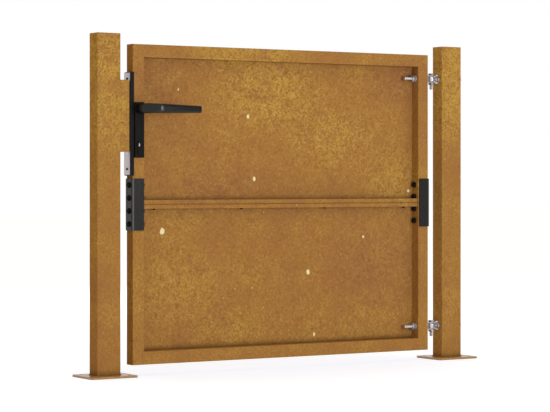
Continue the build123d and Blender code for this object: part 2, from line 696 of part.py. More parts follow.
def escutcheon(side):
    """Plate under the lever with the profile of the cylinder cut through it."""
    y = sorted((side * LEAF_Y, side * PLATE_FACE))
    z = (KEY_Z - PLATE_BELOW_KEY, LEVER_Z + PLATE_ABOVE_LEVER)
    body = block((LOCK_X - PLATE_W / 2, LOCK_X + PLATE_W / 2), y, z)
    body = fillet(body.edges().filter_by(Axis.Y), PLATE_CORNER_R)
    face = body.faces().sort_by(Axis.Y)[-1 if side > 0 else 0]
    body = fillet(face.edges(), PLATE_EDGE_R)
    through = (y[0] - CUT, y[1] + CUT)
    body -= rod_y(SPINDLE_HOLE_R, LOCK_X, through, LEVER_Z) + cylinder_bar(CYLINDER_FIT, through)
    for screw_z in PLATE_SCREW_ZS:
        body -= escutcheon_screw_bar(PLATE_SCREW_R + SCREW_FIT, screw_z)
    return body


def escutcheon_screw_bar(radius, z):
    """Shank from the rear escutcheon's face to its blind end in the front one."""
    return rod_y(radius, LOCK_X, (-LEAF_Y - PLATE_SCREW_GRIP, PLATE_FACE), z)


def escutcheon_screw(z):
    """Screw that clamps both escutcheons to the stile from the rear."""
    head = rod_y(PLATE_SCREW_HEAD_R, LOCK_X, (PLATE_FACE, PLATE_FACE + PLATE_SCREW_HEAD_H), z)
    return head + escutcheon_screw_bar(PLATE_SCREW_R, z)


def escutcheon_screws():
    """Both screws of the escutcheons."""
    return Compound([escutcheon_screw(z).solid() for z in PLATE_SCREW_ZS])


def lever_plan():
    """Lever seen from above: out of the escutcheon, round the bend and along to the tip."""
    half = LEVER_T / 2
    grip = LEVER_STANDOFF - half
    corners = [(-half, LEVER_FIT), (-half, grip + half), (LEVER_LENGTH, grip + half),
               (LEVER_LENGTH, grip - half), (half, grip - half), (half, LEVER_FIT)]
    face = make_face(Polyline(*corners, close=True))
    face = fillet(face.vertices().sort_by_distance(corners[1])[0], LEVER_BEND_R + half)
    face = fillet(face.vertices().sort_by_distance(corners[4])[0], LEVER_BEND_R - half)
    tip = [face.vertices().sort_by_distance(corner)[0] for corner in corners[2:4]]
    return fillet(tip, LEVER_TIP_R)


def lever_blank():
    """Lever with its axis on the origin, the escutcheon's face at y 0 and the grip towards +X."""
    tall = 2 * (LEVER_ROOT_TOP + LEVER_ROOT_BOTTOM)
    body = extrude(lever_plan(), amount=tall / 2, both=True)
    outline = [(-LEVER_T, LEVER_ROOT_TOP), (0, LEVER_ROOT_TOP), (LEVER_LENGTH, LEVER_TIP_TOP),
               (LEVER_LENGTH, -LEVER_TIP_BOTTOM), (0, -LEVER_ROOT_BOTTOM), (-LEVER_T, -LEVER_ROOT_BOTTOM)]
    body &= upright_prism(outline, (-LEVER_STANDOFF, 2 * LEVER_STANDOFF))
    long_edges = [edge for edge in body.edges() if edge.center().Y > LEVER_STANDOFF / 2]
    body = fillet(long_edges, LEVER_EDGE_R)
    neck = (LEVER_FIT, LEVER_FIT + LEVER_NECK_L)
    body -= block((-LEVER_LENGTH, LEVER_LENGTH), neck, (-tall, tall))
    neck_bar = rod_y(LEVER_NECK_R, 0, neck, 0)
    rim = neck_bar.edges().filter_by(GeomType.CIRCLE).sort_by(Axis.Y)[-1]
    return body + fillet(rim, LEVER_NECK_EDGE_R)


def lever(side):
    """Lever with a square socket for the spindle and a hole for its grub screw."""
    half = SOCKET_HALF
    body = lever_blank() - block((-half, half), (0, SPINDLE_REACH + LEVER_FIT), (-half, half))
    body -= rod_z(GRUB_R + THREAD_FIT, 0, GRUB_SETBACK, (-2 * LEVER_ROOT_BOTTOM, 0))
    if side < 0:
        body = mirror(body, about=Plane.XZ)
    return Pos(LOCK_X, side * PLATE_FACE, LEVER_Z) * body


def grub_screw(side):
    """Grub screw from below, its end on the spindle."""
    z = (LEVER_Z - LEVER_ROOT_BOTTOM, LEVER_Z - SPINDLE / 2)
    return rod_z(GRUB_R, LOCK_X, side * (PLATE_FACE + GRUB_SETBACK), z)


def grub_screws():
    """The grub screws of both levers."""
    return Compound([grub_screw(side).solid() for side in (-1, 1)])


def handle_spindle():
    """Square bar through the follower and into both levers."""
    half = SPINDLE / 2
    reach = PLATE_FACE + SPINDLE_REACH
    return block((LOCK_X - half, LOCK_X + half), (-reach, reach), (LEVER_Z - half, LEVER_Z + half))


def lock_follower():
    """Hub on the spindle with an arm up into the latch bolt's notch."""
    side = CASE_Y - CASE_WALL - HUB_SIDE_FIT
    body = rod_y(HUB_R, LOCK_X, (-side, side), LEVER_Z)
    body += rod_y(HUB_BOSS_R, LOCK_X, (-CASE_Y, CASE_Y), LEVER_Z)
    half = ARM_W / 2
    body += block((LOCK_X - half, LOCK_X + half), (-side, side), (LEVER_Z, LEVER_Z + ARM_R))
    half = SOCKET_HALF
    return body - block((LOCK_X - half, LOCK_X + half), (-CASE_D, CASE_D), (LEVER_Z - half, LEVER_Z + half))


# Latch bolt

def latch_bolt():
    """Bolt with a bevelled nose, a notch for the follower's arm and a bore for its spring."""
    half_d = LATCH_D / 2
    z = (LATCH_Z0, LATCH_Z0 + LATCH_H)
    body = block((LATCH_TIP, LATCH_END), (-half_d, half_d), z)
    bevel = [(LATCH_TIP, LATCH_NOSE - half_d), (LATCH_TIP, half_d), (FOREND_FACE, half_d)]
    body -= Pos(0, 0, z[0]) * extrude(make_face(Polyline(*bevel, close=True)), amount=LATCH_H)
    half = LATCH_NOTCH / 2
    body -= block((LOCK_X - half, LOCK_X + half), (-LATCH_D, LATCH_D),
                  (LATCH_Z0 - CUT, LEVER_Z + ARM_R + LATCH_NOTCH_FIT))
    return body - rod_x(SPRING_R + SPRING_BORE_FIT, (LATCH_END - SPRING_BORE, LATCH_END + CUT), 0, SPRING_Z)


def latch_spring():
    """Compression spring between the bore's end and the back of the case."""
    x0 = LATCH_END - SPRING_BORE + SPRING_FIT + SPRING_WIRE_R
    x1 = CASE_REAR - SPRING_FIT - SPRING_WIRE_R
    coil_r = SPRING_R - SPRING_WIRE_R
    line = Helix(pitch=(x1 - x0) / SPRING_TURNS, height=x1 - x0, radius=coil_r)
    start = Plane(origin=line @ 0, z_dir=line % 0)
    wire = sweep(start * Circle(SPRING_WIRE_R), path=line)
    return Pos(x0, 0, SPRING_Z) * Rot(0, 90, 0) * wire


# Cylinder and dead bolt

def cylinder_bar(grow, y):
    """Profile of the cylinder, a circle with a narrower tail, grown by a clearance and carried along Y."""
    radius = CYLINDER_R + grow
    half = CYLINDER_TAIL / 2 + grow
    z_round = KEY_Z + CYLINDER_R - CYLINDER_H + CYLINDER_TAIL / 2
    tail = block((LOCK_X - half, LOCK_X + half), y, (z_round, KEY_Z)) + rod_y(half, LOCK_X, y, z_round)
    return rod_y(radius, LOCK_X, y, KEY_Z) + tail


def cylinder_body():
    """Cylinder with bores for both plugs, a gap for the cam and a tapped hole for its screw."""
    y = (-CYLINDER_END, CYLINDER_END)
    body = cylinder_bar(0, y) - rod_y(PLUG_R + PLUG_FIT, LOCK_X, y, KEY_Z)
    half = CAM_GAP / 2
    wide = 2 * CYLINDER_R
    z = (KEY_Z - CAM_R - CAM_UNDER_FIT, KEY_Z + wide)
    body -= block((LOCK_X - wide, LOCK_X + wide), (-half, half), z)
    return body - cylinder_screw_shape(THREAD_FIT)


def cylinder_screw_shape(grow):
    """Countersunk screw from the forend into the cylinder's tail, grown by a clearance."""
    x_end = LOCK_X + CYLINDER_TAIL / 2
    shank = rod_x(CYLINDER_SCREW_R + grow, (FOREND_FACE, x_end), 0, CYLINDER_SCREW_Z)
    cone = Cone(CYLINDER_SCREW_HEAD_R + grow, CYLINDER_SCREW_R + grow, FOREND_T)
    return shank + Pos(FOREND_FACE + FOREND_T / 2, 0, CYLINDER_SCREW_Z) * Rot(0, 90, 0) * cone


def front_key_plug():
    """Front plug with its keyway."""
    body = rod_y(PLUG_R, LOCK_X, (-CYLINDER_END, -CAM_Y), KEY_Z)
    return body - keyway(-1)


def rear_key_plug():
    """Rear plug with its keyway, clear of the cam."""
    body = rod_y(PLUG_R, LOCK_X, (CAM_GAP / 2, CYLINDER_END), KEY_Z)
    return body - keyway(1)


def keyway(side):
    """Slot for the key in one end of the cylinder."""
    half_w = KEYWAY_W / 2
    half_h = KEYWAY_H / 2
    y = sorted((side * (CYLINDER_END - KEYWAY_DEPTH), side * (CYLINDER_END + CUT)))
    return block((LOCK_X - half_w, LOCK_X + half_w), y, (KEY_Z - half_h, KEY_Z + half_h))


def cylinder_cam():
    """Cam with one tooth, leaning towards the hinge side while the dead bolt is drawn back."""
    half = CAM_TOOTH_W / 2
    tooth = block((-half, half), (-CAM_Y, CAM_Y), (0, CAM_TOOTH_R))
    return Pos(LOCK_X, 0, KEY_Z) * Rot(0, CAM_START, 0) * (tooth + rod_y(CAM_R, 0, (-CAM_Y, CAM_Y), 0))


def dead_bolt():
    """Square bolt, drawn back, with a notch under it for the cam's tooth."""
    notch_x = LOCK_X + CAM_PITCH_R * sin(radians(CAM_START))
    half = DEAD_NOTCH / 2
    half_d = DEAD_D / 2
    body = block((FOREND_FACE + DEAD_FLUSH, CASE_REAR - DEAD_BACK_FIT), (-half_d, half_d),
                 (DEAD_Z0, DEAD_Z0 + DEAD_H))
    return body - block((notch_x - half, notch_x + half), (-DEAD_D, DEAD_D),
                        (DEAD_Z0 - CUT, KEY_Z + CAM_TOOTH_R + DEAD_NOTCH_FIT))


PARTS = {
    "latch_post_tube": post_tube(LATCH_POST_X),
    "latch_post_cap": post_cap(LATCH_POST_X),
    "latch_base_plate": base_plate(LATCH_POST_X),
    "strike_box": strike_box(),
    "strike_plate": strike_plate(),
    "hinge_post_tube": hinge_post_tube(),
    "hinge_post_cap": post_cap(HINGE_POST_X),
    "hinge_base_plate": base_plate(HINGE_POST_X),
    "lower_post_eyebolt": post_eyebolt(HINGE_ZS[0]),
    "upper_post_eyebolt": post_eyebolt(HINGE_ZS[1]),
    "eyebolt_nuts": flange_nuts(),
    "top_rail": rail(LEAF_TOP, 1),
    "bottom_rail": rail(LEAF_BOTTOM, -1),
    "upper_latch_stile": lock_stile(),
    "lower_latch_stile": stile(LEAF_X0, 1, LOWER_Z1, LEAF_BOTTOM),
    "upper_hinge_stile": hinge_stile(UPPER_Z0, LEAF_TOP, HINGE_ZS[1]),
    "lower_hinge_stile": hinge_stile(LOWER_Z1, LEAF_BOTTOM, HINGE_ZS[0]),
    "upper_panel": panel(UPPER_Z0, LEAF_TOP - TUBE),
    "lower_panel": panel(LEAF_BOTTOM + TUBE, LOWER_Z1),
    "upper_middle_channel": middle_channel(UPPER_Z0, 1),
    "lower_middle_channel": middle_channel(LOWER_Z1, -1),
    "channel_bolts": at_each_channel_bolt(channel_bolt),
    "channel_nuts": at_each_channel_bolt(channel_nut),
    "latch_side_bracket": bracket(LEAF_X0, 1),
    "hinge_side_bracket": bracket(LEAF_X1, -1),
    "bracket_bolts": at_each_bolt(bracket_bolt),
    "bracket_nuts": at_each_bolt(bracket_nut),
    "lower_hinge_fork": hinge_fork(HINGE_ZS[0]),
    "upper_hinge_fork": hinge_fork(HINGE_ZS[1]),
    "hinge_sleeves": at_each_hinge(hinge_sleeve),
    "hinge_pins": at_each_hinge(hinge_pin),
    "hinge_pin_nuts": at_each_hinge(hinge_pin_nut),
    "lock_housing": lock_housing(),
    "lock_forend": lock_forend(),
    "forend_screws": forend_screws(),
    "lock_case": lock_case(),
    "front_escutcheon": escutcheon(-1),
    "rear_escutcheon": escutcheon(1),
    "escutcheon_screws": escutcheon_screws(),
    "front_lever": lever(-1),
    "rear_lever": lever(1),
    "lever_grub_screws": grub_screws(),
    "handle_spindle": handle_spindle(),
    "lock_follower": lock_follower(),
    "latch_bolt": latch_bolt(),
    "latch_spring": latch_spring(),
    "cylinder_body": cylinder_body(),
    "cylinder_screw": cylinder_screw_shape(0),
    "front_key_plug": front_key_plug(),
    "rear_key_plug": rear_key_plug(),
    "cylinder_cam": cylinder_cam(),
    "dead_bolt": dead_bolt(),
}

os.makedirs("parts", exist_ok=True)
for name, shape in PARTS.items():
    export_step(shape, f"parts/{name}.step")
print(f"dead bolt throw {DEAD_THROW:.2f} mm over {CAM_TURN:.0f} degrees")
print(f"latch travel {LATCH_TRAVEL:.2f} mm over {LEVER_TURN:.0f} degrees")
print(f"hinge axis at x {PIN_X:.1f}, lock axis at x {LOCK_X:.1f}, key at z {KEY_Z:.1f}")
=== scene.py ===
from math import cos, pi, radians, sin, sqrt

import bpy
import numpy as np
from bpy.props import FloatProperty, FloatVectorProperty, PointerProperty
from bpy.types import Operator, Panel, PropertyGroup
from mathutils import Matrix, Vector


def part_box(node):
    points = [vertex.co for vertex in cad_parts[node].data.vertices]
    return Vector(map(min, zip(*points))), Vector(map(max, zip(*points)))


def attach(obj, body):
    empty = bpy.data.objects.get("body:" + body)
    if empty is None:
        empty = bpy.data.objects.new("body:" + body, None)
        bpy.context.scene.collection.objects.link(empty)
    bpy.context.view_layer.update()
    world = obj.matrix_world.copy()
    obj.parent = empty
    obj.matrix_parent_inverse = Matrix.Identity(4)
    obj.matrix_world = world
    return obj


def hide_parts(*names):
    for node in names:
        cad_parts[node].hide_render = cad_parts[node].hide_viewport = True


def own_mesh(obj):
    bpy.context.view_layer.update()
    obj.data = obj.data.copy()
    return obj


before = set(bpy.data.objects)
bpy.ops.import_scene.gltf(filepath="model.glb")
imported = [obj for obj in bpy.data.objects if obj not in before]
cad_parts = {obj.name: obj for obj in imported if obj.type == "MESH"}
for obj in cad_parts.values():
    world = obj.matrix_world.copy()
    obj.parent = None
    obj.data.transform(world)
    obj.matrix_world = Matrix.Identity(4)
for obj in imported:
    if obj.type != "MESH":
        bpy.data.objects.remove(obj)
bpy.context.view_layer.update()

bl_info = {
    "name": "Weathering steel garden gate",
    "version": (1, 0, 0),
    "blender": (4, 5, 0),
    "location": "View3D > Sidebar > Gate",
    "description": "Rusted, coated and plated finishes, and the turned, bent and welded details of a gate",
    "category": "Object",
}

MM = 0.001
X, Y, Z = np.eye(3)

# Points round a turned piece: a multiple of 24, so that hexagon corners and cross slots fall on points
ROUND = 48
ANGLES = np.linspace(0, 2 * pi, ROUND, endpoint=False)

# Faces that meet at more than this angle keep a sharp edge between them
SHARP_ANGLE = radians(38)

# Names of the imported record's slots, given with each new piece
STEEL = "weathering_steel"
DARK = "dark_steel"
ZINC = "zinc_plated_steel"
BLACK = "black_lever_finish"
BRASS = "nickelled_brass"


def linear(code):
    """Linear colour of an sRGB hex code: the standard curve, a straight foot and a 2.4 power."""
    share = np.array([int(code[i:i + 2], 16) for i in (1, 3, 5)]) / 255
    return tuple(np.where(share <= 0.04045, share / 12.92, ((share + 0.055) / 1.055) ** 2.4)) + (1.0,)


def length(name, description, millimetres):
    """Length property with its default in millimetres."""
    return FloatProperty(name=name, description=description, default=millimetres * MM,
                         unit="LENGTH", precision=5)


def colour(name, description, code):
    """Colour property with its default as an sRGB hex code."""
    return FloatVectorProperty(name=name, description=description, default=linear(code),
                               size=4, min=0, max=1, subtype="COLOR")


class GateSizes(PropertyGroup):
    """Sizes of the turned, bent and welded details."""
    rod_radius: length("Rod radius", "Radius of the threaded hinge rods and eyebolts", 5.0)
    rod_pitch: length("Rod thread pitch", "Rise of one turn of the hinge threads", 1.5)
    rod_thread: length("Rod thread depth", "Depth of the hinge threads", 0.25)
    prong: length("Prong thickness", "Thickness of the hinge fork's strip", 3.0)
    prong_bend: length("Prong bend", "Radius of the hinge fork's bends along its middle", 3.0)
    eye_root: length("Eye root", "Length over which an eyebolt's shank swells into its eye", 2.0)
    post_nut: length("Post nut width", "Width across flats of the eyebolts' flange nuts", 16.0)
    post_flange: length("Post nut flange", "Radius of the eyebolt nuts' flanges", 11.0)
    post_flange_height: length("Flange height", "Thickness of the eyebolt nuts' flanges", 2.0)
    jam_nut: length("Jam nut width", "Width across flats of the hinge rods' jam nuts", 17.0)
    jam_nut_height: length("Jam nut height", "Height of the hinge rods' jam nuts", 8.0)
    washer: length("Washer radius", "Radius of the washers under the jam nuts", 10.5)
    bolt_radius: length("Bolt radius", "Radius of the bracket bolts and hinge pins", 4.0)
    bolt_pitch: length("Bolt thread pitch", "Rise of one turn of the bolt threads", 1.25)
    bolt_thread: length("Bolt thread depth", "Depth of the bolt threads", 0.5)
    bolt_thread_reach: length("Bolt thread reach", "Thread of a bracket bolt past its nut", 5.0)
    bolt_spacing: length("Bolt spacing", "Distance between the bolts of a bracket", 30.0)
    bolt_nut: length("Bolt nut width", "Width across flats of bracket nuts, pin heads and pin nuts", 13.0)
    bolt_head: length("Bolt head radius", "Radius of the bracket bolts' round heads", 7.0)
    bolt_head_height: length("Bolt head height", "Height of the bracket bolts' round heads", 6.0)
    bolt_head_edge: length("Bolt head edge", "Rounding of the bracket bolts' heads", 1.5)
    socket: length("Socket width", "Width across flats of the bracket bolts' sockets", 5.0)
    socket_depth: length("Socket depth", "Depth of the bracket bolts' sockets", 3.5)
    bracket_bend: length("Bracket bend", "Outer radius of the brackets' bend", 4.0)
    strip_bolt_radius: length("Strip bolt radius", "Radius of the bolts through the middle strips", 3.0)
    strip_bolt_pitch: length("Strip bolt pitch", "Rise of one turn of the strip bolts' threads", 1.0)
    strip_bolt_thread: length("Strip bolt thread", "Depth of the strip bolts' threads", 0.4)
    strip_bolt_plain: length("Strip bolt plain", "Length of the strip bolts' plain shanks", 15.0)
    strip_nut: length("Strip nut width", "Width across flats of the strip bolts' heads and nuts", 10.0)
    strip_head: length("Strip bolt head", "Height of the strip bolts' heads", 4.0)
    nut_edge: length("Nut edge", "Break of the sharp edges on turned pieces", 0.4)
    lever_neck: length("Lever neck", "Radius of the lever's round neck", 11.5)
    lever_neck_length: length("Lever neck length", "Length of the lever's round neck", 20.0)
    lever_step: length("Lever step", "Step from the neck's radius in to the lever's round root", 2.0)
    lever_bend: length("Lever bend", "Radius of the lever's bend along its middle", 35.0)
    lever_grip: length("Lever thickness", "Thickness of the lever's grip", 13.0)
    lever_tip: length("Lever tip", "Rounding of the lever's end", 4.5)
    lever_tip_top: length("Lever tip top", "Height of the lever's tip above the spindle", 7.0)
    lever_tip_bottom: length("Lever tip bottom", "Depth of the lever's tip below the spindle", 9.0)
    set_screw: length("Set screw radius", "Radius of the levers' set screws", 2.0)
    set_screw_socket: length("Set screw socket", "Width across flats of the set screws' sockets", 2.0)
    set_screw_depth: length("Set screw depth", "Depth of the set screws' sockets", 1.5)
    lock_screw: length("Lock screw radius", "Radius of the lock screws' shanks", 2.0)
    keyway: length("Keyway guide width", "Width of the bright guide round the keyway", 3.2)
    keyway_height: length("Keyway guide height", "Height of the bright guide round the keyway", 7.6)
    keyway_step: length("Keyway guide step", "How far the keyway guide stands out of its plug", 0.4)
    spring_wire: length("Spring wire", "Radius of the latch spring's wire", 0.35)
    weld: length("Weld radius", "Radius of the weld beads", 1.7)
    weld_ripple: length("Weld ripple", "Distance between the ripples of a weld bead", 3.0)
    weld_corner: length("Weld corner", "Rounding of the weld beads round the posts' corners", 2.0)


class GateColours(PropertyGroup):
    """Colours of the finishes."""
    rust: colour("Rust", "Even brown of the rusted face", "#9C6F41")
    rust_red: colour("Red rust", "Redder, older rust", "#946543")
    rust_ochre: colour("Ochre rust", "Yellow bloom on the rust", "#BC994B")
    rust_dark: colour("Dark rust", "Pits and the darkest grains", "#74491F")
    rust_fleck: colour("Rust fleck", "Pale flecks where the rust has chipped", "#E2C088")
    rust_chip: colour("Rust chip", "Cream of the few large chips", "#EDE4BC")
    # Painted shade: the dark colour laid under the panels, in the strips' joint and at the posts' feet
    painted_shade: colour("Painted shade", "Painted shade along a ledge, a joint or a post's foot", "#3C2408")
    coat: colour("Bracket coat", "Dark grey powder coat of the brackets", "#232325")
    # Painted highlight: the paler colour laid along the brackets' bends
    painted_bend_highlight: colour("Painted bend highlight", "Painted highlight along the brackets' bend", "#606167")
    fastener: colour("Black fastener", "Blackened steel of bolts and nuts", "#131315")
    lever: colour("Lever black", "Satin black of the levers and escutcheons", "#131313")
    nylon: colour("Nylon black", "Moulded black of the lock housing", "#100F10")
    zinc: colour("Zinc", "Bright zinc plate of the hinges", "#CBC7CC")
    forend: colour("Forend steel", "Brushed steel of the lock's forend", "#BCB3B7")
    nickel: colour("Nickel", "Nickelled brass of the cylinder", "#CFC8BA")
    floor: colour("Floor", "Pale studio floor", "#F2F2F2")


# Grids, meshes and pieces

def box_of(node):
    """Lowest and highest corner of a solid, as arrays in metres."""
    low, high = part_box(node)
    return np.array(low), np.array(high)


def rows(along, radius):
    """Rows of a turned surface: distances along the axis, and for each a radius, one or one per angle."""
    along = np.atleast_1d(np.asarray(along, float))
    radius = np.asarray(radius, float)
    if radius.ndim < 2:
        radius = np.broadcast_to(radius, len(along))[:, None]
    return along, np.broadcast_to(radius, (len(along), ROUND))


def turned(parts, origin, axis, first):
    """Surface carried round an axis: origin plus the distance along the axis plus the radius times the
    direction at each angle, counted from first."""
    along = np.concatenate([part[0] for part in parts])
    radius = np.concatenate([part[1] for part in parts])
    spoke = np.cos(ANGLES)[:, None] * first + np.sin(ANGLES)[:, None] * np.cross(axis, first)
    return np.asarray(origin) + along[:, None, None] * axis + radius[..., None] * spoke


def skin(points, loop=False):
    """Vertices, quads and triangles of a grid whose columns run round. The rows form a loop, or else a
    fan to the middle closes each end."""
    count, across = points.shape[:2]
    index = np.arange(count * across).reshape(count, across)
    after = np.roll(index, -1, axis=1)
    quads = np.stack([index, after, np.roll(after, -1, axis=0), np.roll(index, -1, axis=0)], axis=-1)
    vertices = points.reshape(-1, 3)
    if loop:
        return vertices, quads.reshape(-1, 4), np.empty((0, 3), int)
    ends = points[[0, -1]].mean(axis=1)
    first = np.stack([after[0], index[0], np.full(across, len(vertices))], axis=-1)
    last = np.stack([index[-1], after[-1], np.full(across, len(vertices) + 1)], axis=-1)
    return np.concatenate([vertices, ends]), quads[:-1].reshape(-1, 4), np.concatenate([first, last])


def make_piece(name, skins, material, body, slot, *nodes):
    """One object from several skins, at the origin, that moves with a body and stands for the nodes."""
    vertices, faces, start = [], [], 0
    for points, quads, triangles in skins:
        vertices.append(points)
        faces += (quads + start).tolist() + (triangles + start).tolist()
        start += len(points)
    mesh = bpy.data.meshes.new(name)
    mesh.from_pydata(np.concatenate(vertices).tolist(), [], faces)
    mesh.shade_smooth()
    mesh.set_sharp_from_angle(angle=SHARP_ANGLE)
    mesh.materials.append(material)
    piece = bpy.data.objects.new(name, mesh)
    bpy.context.scene.collection.objects.link(piece)
    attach(piece, body)
    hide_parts(*nodes)
    return piece


def finish_nodes(material, *nodes):
    """Gives solids that stay a better finish."""
    for node in nodes:
        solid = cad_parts[node]
        if not solid.material_slots:
            raise RuntimeError(f"{node} has no material slot")
        for slot in solid.material_slots:
            slot.material = material


# Turned shapes

# Rows of points in one turn of a thread, in a quarter round and in the cut corners of a hexagon
THREAD_ROWS = 8
ROUNDING_ROWS = 6
CONE_ROWS = 5

# Radius of a hexagon's round end face over its width, and a bore's countersink over its radius
HEX_FACE = 0.47
COUNTERSINK = 0.12

# A tube is thin, so it has every fourth of the points round
TUBE_STEP = 4


def hexagon(across_flats):
    """Radius of a hexagon at each angle: half its width over the cosine of the angle to the middle of
    the nearest flat."""
    return across_flats / 2 / np.cos(ANGLES % (pi / 3) - pi / 6)


def cross_slot(arm, half_width):
    """Radius of a cross at each angle: the nearer of an arm's end and an arm's side."""
    turn = np.abs((ANGLES + pi / 4) % (pi / 2) - pi / 4)
    return np.minimum(arm / np.cos(turn), half_width / np.maximum(np.sin(turn), 1e-6))


def oval(half_width, half_height, power):
    """Radius of a superellipse at each angle: the powers of its shares across and up add up to one."""
    across = np.abs(np.cos(ANGLES) / half_width) ** power
    up = np.abs(np.sin(ANGLES) / half_height) ** power
    return (across + up) ** (-1 / power)


def thread(start, stop, radius, pitch, depth):
    """Screw thread: the radius less a triangle wave that runs once per pitch and shifts once per turn."""
    along = np.linspace(start, stop, max(int(abs(stop - start) / pitch * THREAD_ROWS), 2))
    phase = (along[:, None] / pitch - ANGLES / (2 * pi)) % 1
    return rows(along, radius - depth * np.abs(2 * phase - 1))


def rounded(along, radius, edge, turn_from, turn_to):
    """Quarter round of a turned edge about a centre, between two angles from the radial direction."""
    angle = np.radians(np.linspace(turn_from, turn_to, ROUNDING_ROWS))
    return rows(along + edge * np.sin(angle), radius + edge * np.cos(angle))


def hex_sides(start, height, across_flats):
    """Hexagon between two heights, its corners cut by a 30 degree cone at both ends."""
    face = HEX_FACE * across_flats
    corner = across_flats / sqrt(3)
    rise = (corner - face) / sqrt(3)
    share = np.linspace(0, 1, CONE_ROWS)
    cone = np.minimum(face + share[:, None] * (corner - face), hexagon(across_flats))
    return [rows(start + share * rise, cone), rows(start + height - share[::-1] * rise, cone[::-1])]


def nut(seat, axis, first, across_flats, height, bore, flange=None):
    """Hexagon nut with a countersunk bore and, if wanted, a round flange of (radius, thickness) at its
    seat. The flange's rim is broken, and a cone runs up from it to the hexagon."""
    sink = COUNTERSINK * bore
    body = hex_sides(0, height, across_flats)
    if flange:
        radius, thickness = flange
        rim = 0.3 * thickness
        body[0] = rows([0, rim, 0.8 * thickness], [radius - rim, radius, radius])
        body.insert(1, rows(1.6 * thickness, hexagon(across_flats)[None]))
    mouth = rows([sink, 0], [bore, bore + sink])
    far_mouth = rows([height, height - sink], [bore + sink, bore])
    return skin(turned([mouth, *body, far_mouth], seat, axis, first), loop=True)


def washer(seat, axis, first, radius, thickness, bore, edge):
    """Flat ring with both outer rims broken."""
    loop = [rows([0, 0], [bore, radius - edge]), rows([edge, thickness - edge], radius),
            rows([thickness, thickness], [radius - edge, bore])]
    return skin(turned(loop, seat, axis, first), loop=True)


def shank(end, plain, radius, pitch, depth):
    """Threaded shank from its end, cut a little deeper than the thread, up to a plain length, as rows
    along the axis."""
    cut = 1.5 * depth
    return [rows([end, end + cut], [radius - cut, radius - depth]),
            thread(end + cut, plain, radius, pitch, depth), rows([plain, 0], radius)]


def hex_bolt(seat, axis, first, across_flats, height, stem):
    """Hexagon-headed bolt: its shank, the seat, then the head's sides and its face."""
    return skin(turned(stem + hex_sides(0, height, across_flats), seat, axis, first))


def socket_bolt(seat, axis, first, radius, height, edge, socket, depth, stem):
    """Round-headed bolt with rounded rims and a hexagon socket with a broken mouth in its face."""
    wide = hexagon(socket)[None]
    lower = edge / 2
    head = [rounded(lower, radius - lower, lower, -90, 0),
            rounded(height - edge, radius - edge, edge, 0, 90),
            rows(height, wide * 1.06), rows(height - 0.1 * depth, wide), rows(height - depth, wide)]
    return skin(turned(stem + head, seat, axis, first))


def pan_screw(seat, axis, first, radius, height, stem):
    """Pan-headed screw: an upright rim, a dome above it from 0.35 of the height, and a cross slot that
    narrows towards its bottom."""
    turn = np.radians(np.linspace(0, 70, ROUNDING_ROWS))
    dome = rows(height * (0.35 + 0.65 * np.sin(turn) / np.sin(turn[-1])),
                radius * (0.45 + 0.55 * np.cos(turn)))
    slot = cross_slot(0.55 * radius, 0.13 * radius)[None]
    head = [rows(0, radius), dome, rows(height, slot), rows(0.35 * height, 0.75 * slot)]
    return skin(turned(stem + head, seat, axis, first))


def tube(line, radius, up, closed=False):
    """Circle carried along a line, square to it: each point plus the radius times the direction at each
    angle. The directions are counted from the side of the line, which is square to up."""
    ahead = np.roll(line, -1, axis=0) - np.roll(line, 1, axis=0)
    if not closed:
        ahead[[0, -1]] = ahead[[1, -2]]
    ahead /= np.linalg.norm(ahead, axis=1)[:, None]
    side = np.cross(up, ahead)
    side /= np.linalg.norm(side, axis=1)[:, None]
    angle = ANGLES[::TUBE_STEP, None]
    spoke = np.cos(angle) * side[:, None] + np.sin(angle) * np.cross(ahead, side)[:, None]
    return skin(line[:, None] + np.broadcast_to(radius, len(line))[:, None, None] * spoke, closed)


def signed_power(value, power):
    """Size of a value to a power, with the value's sign."""
    return np.sign(value) * np.abs(value) ** power


# Materials

def add(tree, kind, inputs=None, **settings):
    """Adds one shader node, sets its properties, and sets or links each input that is named. A node given
    as an input stands for the first of its outputs in use."""
    node = tree.nodes.new("ShaderNode" + kind)
    for key, value in settings.items():
        setattr(node, key, value)
    for key, value in (inputs or {}).items():
        if isinstance(value, bpy.types.Node):
            value = next(output for output in value.outputs if output.enabled)
        if isinstance(value, bpy.types.NodeSocket):
            tree.links.new(value, node.inputs[key])
        else:
            node.inputs[key].default_value = value
    return node


def new_material(name):
    """Empty material and its tree."""
    material = bpy.data.materials.new(name)
    material.use_nodes = True
    material.node_tree.nodes.clear()
    return material, material.node_tree


# Values between which most of a noise lies
NOISE_LOW = 0.3
NOISE_HIGH = 0.7

# Noise layers of the rust: grain size in metres, detail and distortion. Real grains are finer: these are
# as coarse as they need to be to show.
RUST_LAYERS = {
    "cloud": (0.15, 4.0, 0.0),
    "mottle": (0.03, 4.0, 0.0),
    "curl": (0.015, 3.0, 0.8),
    "blotch": (0.011, 3.0, 0.0),
    "grain": (0.005, 2.0, 0.0),
}

# Distance between flecks, and how far the edges of the rust's zones and of its chips wander, in metres
RUST_FLECK = 0.016
ZONE_WANDER = 0.07
CHIP_WANDER = 0.007

# Shares of the rust's colours: the layer that each follows, the values where it starts and ends, and its
# share there
RUST_SHARES = {
    "ochre": ("cloud", 0.40, 0.70, 0.2, 0.5),
    "red": ("cloud", 0.50, 0.34, 0.0, 0.5),
    "curls": ("curl", 0.11, 0.0, 0.3, 1.0),
    "spots": ("mottle", 0.32, 0.58, 0.4, 1.0),
    "pits": ("grain", 0.50, 0.30, 0.0, 0.55),
    "grits": ("grain", 0.55, 0.75, 0.0, 0.34),
    "fleck size": ("chance", 0.88, 1.0, 0.0, 0.16),
}

# Distances from a patch's middle, in half sizes, at which it has its whole share and none
PATCH_WHOLE = 0.2
PATCH_NONE = 1.3

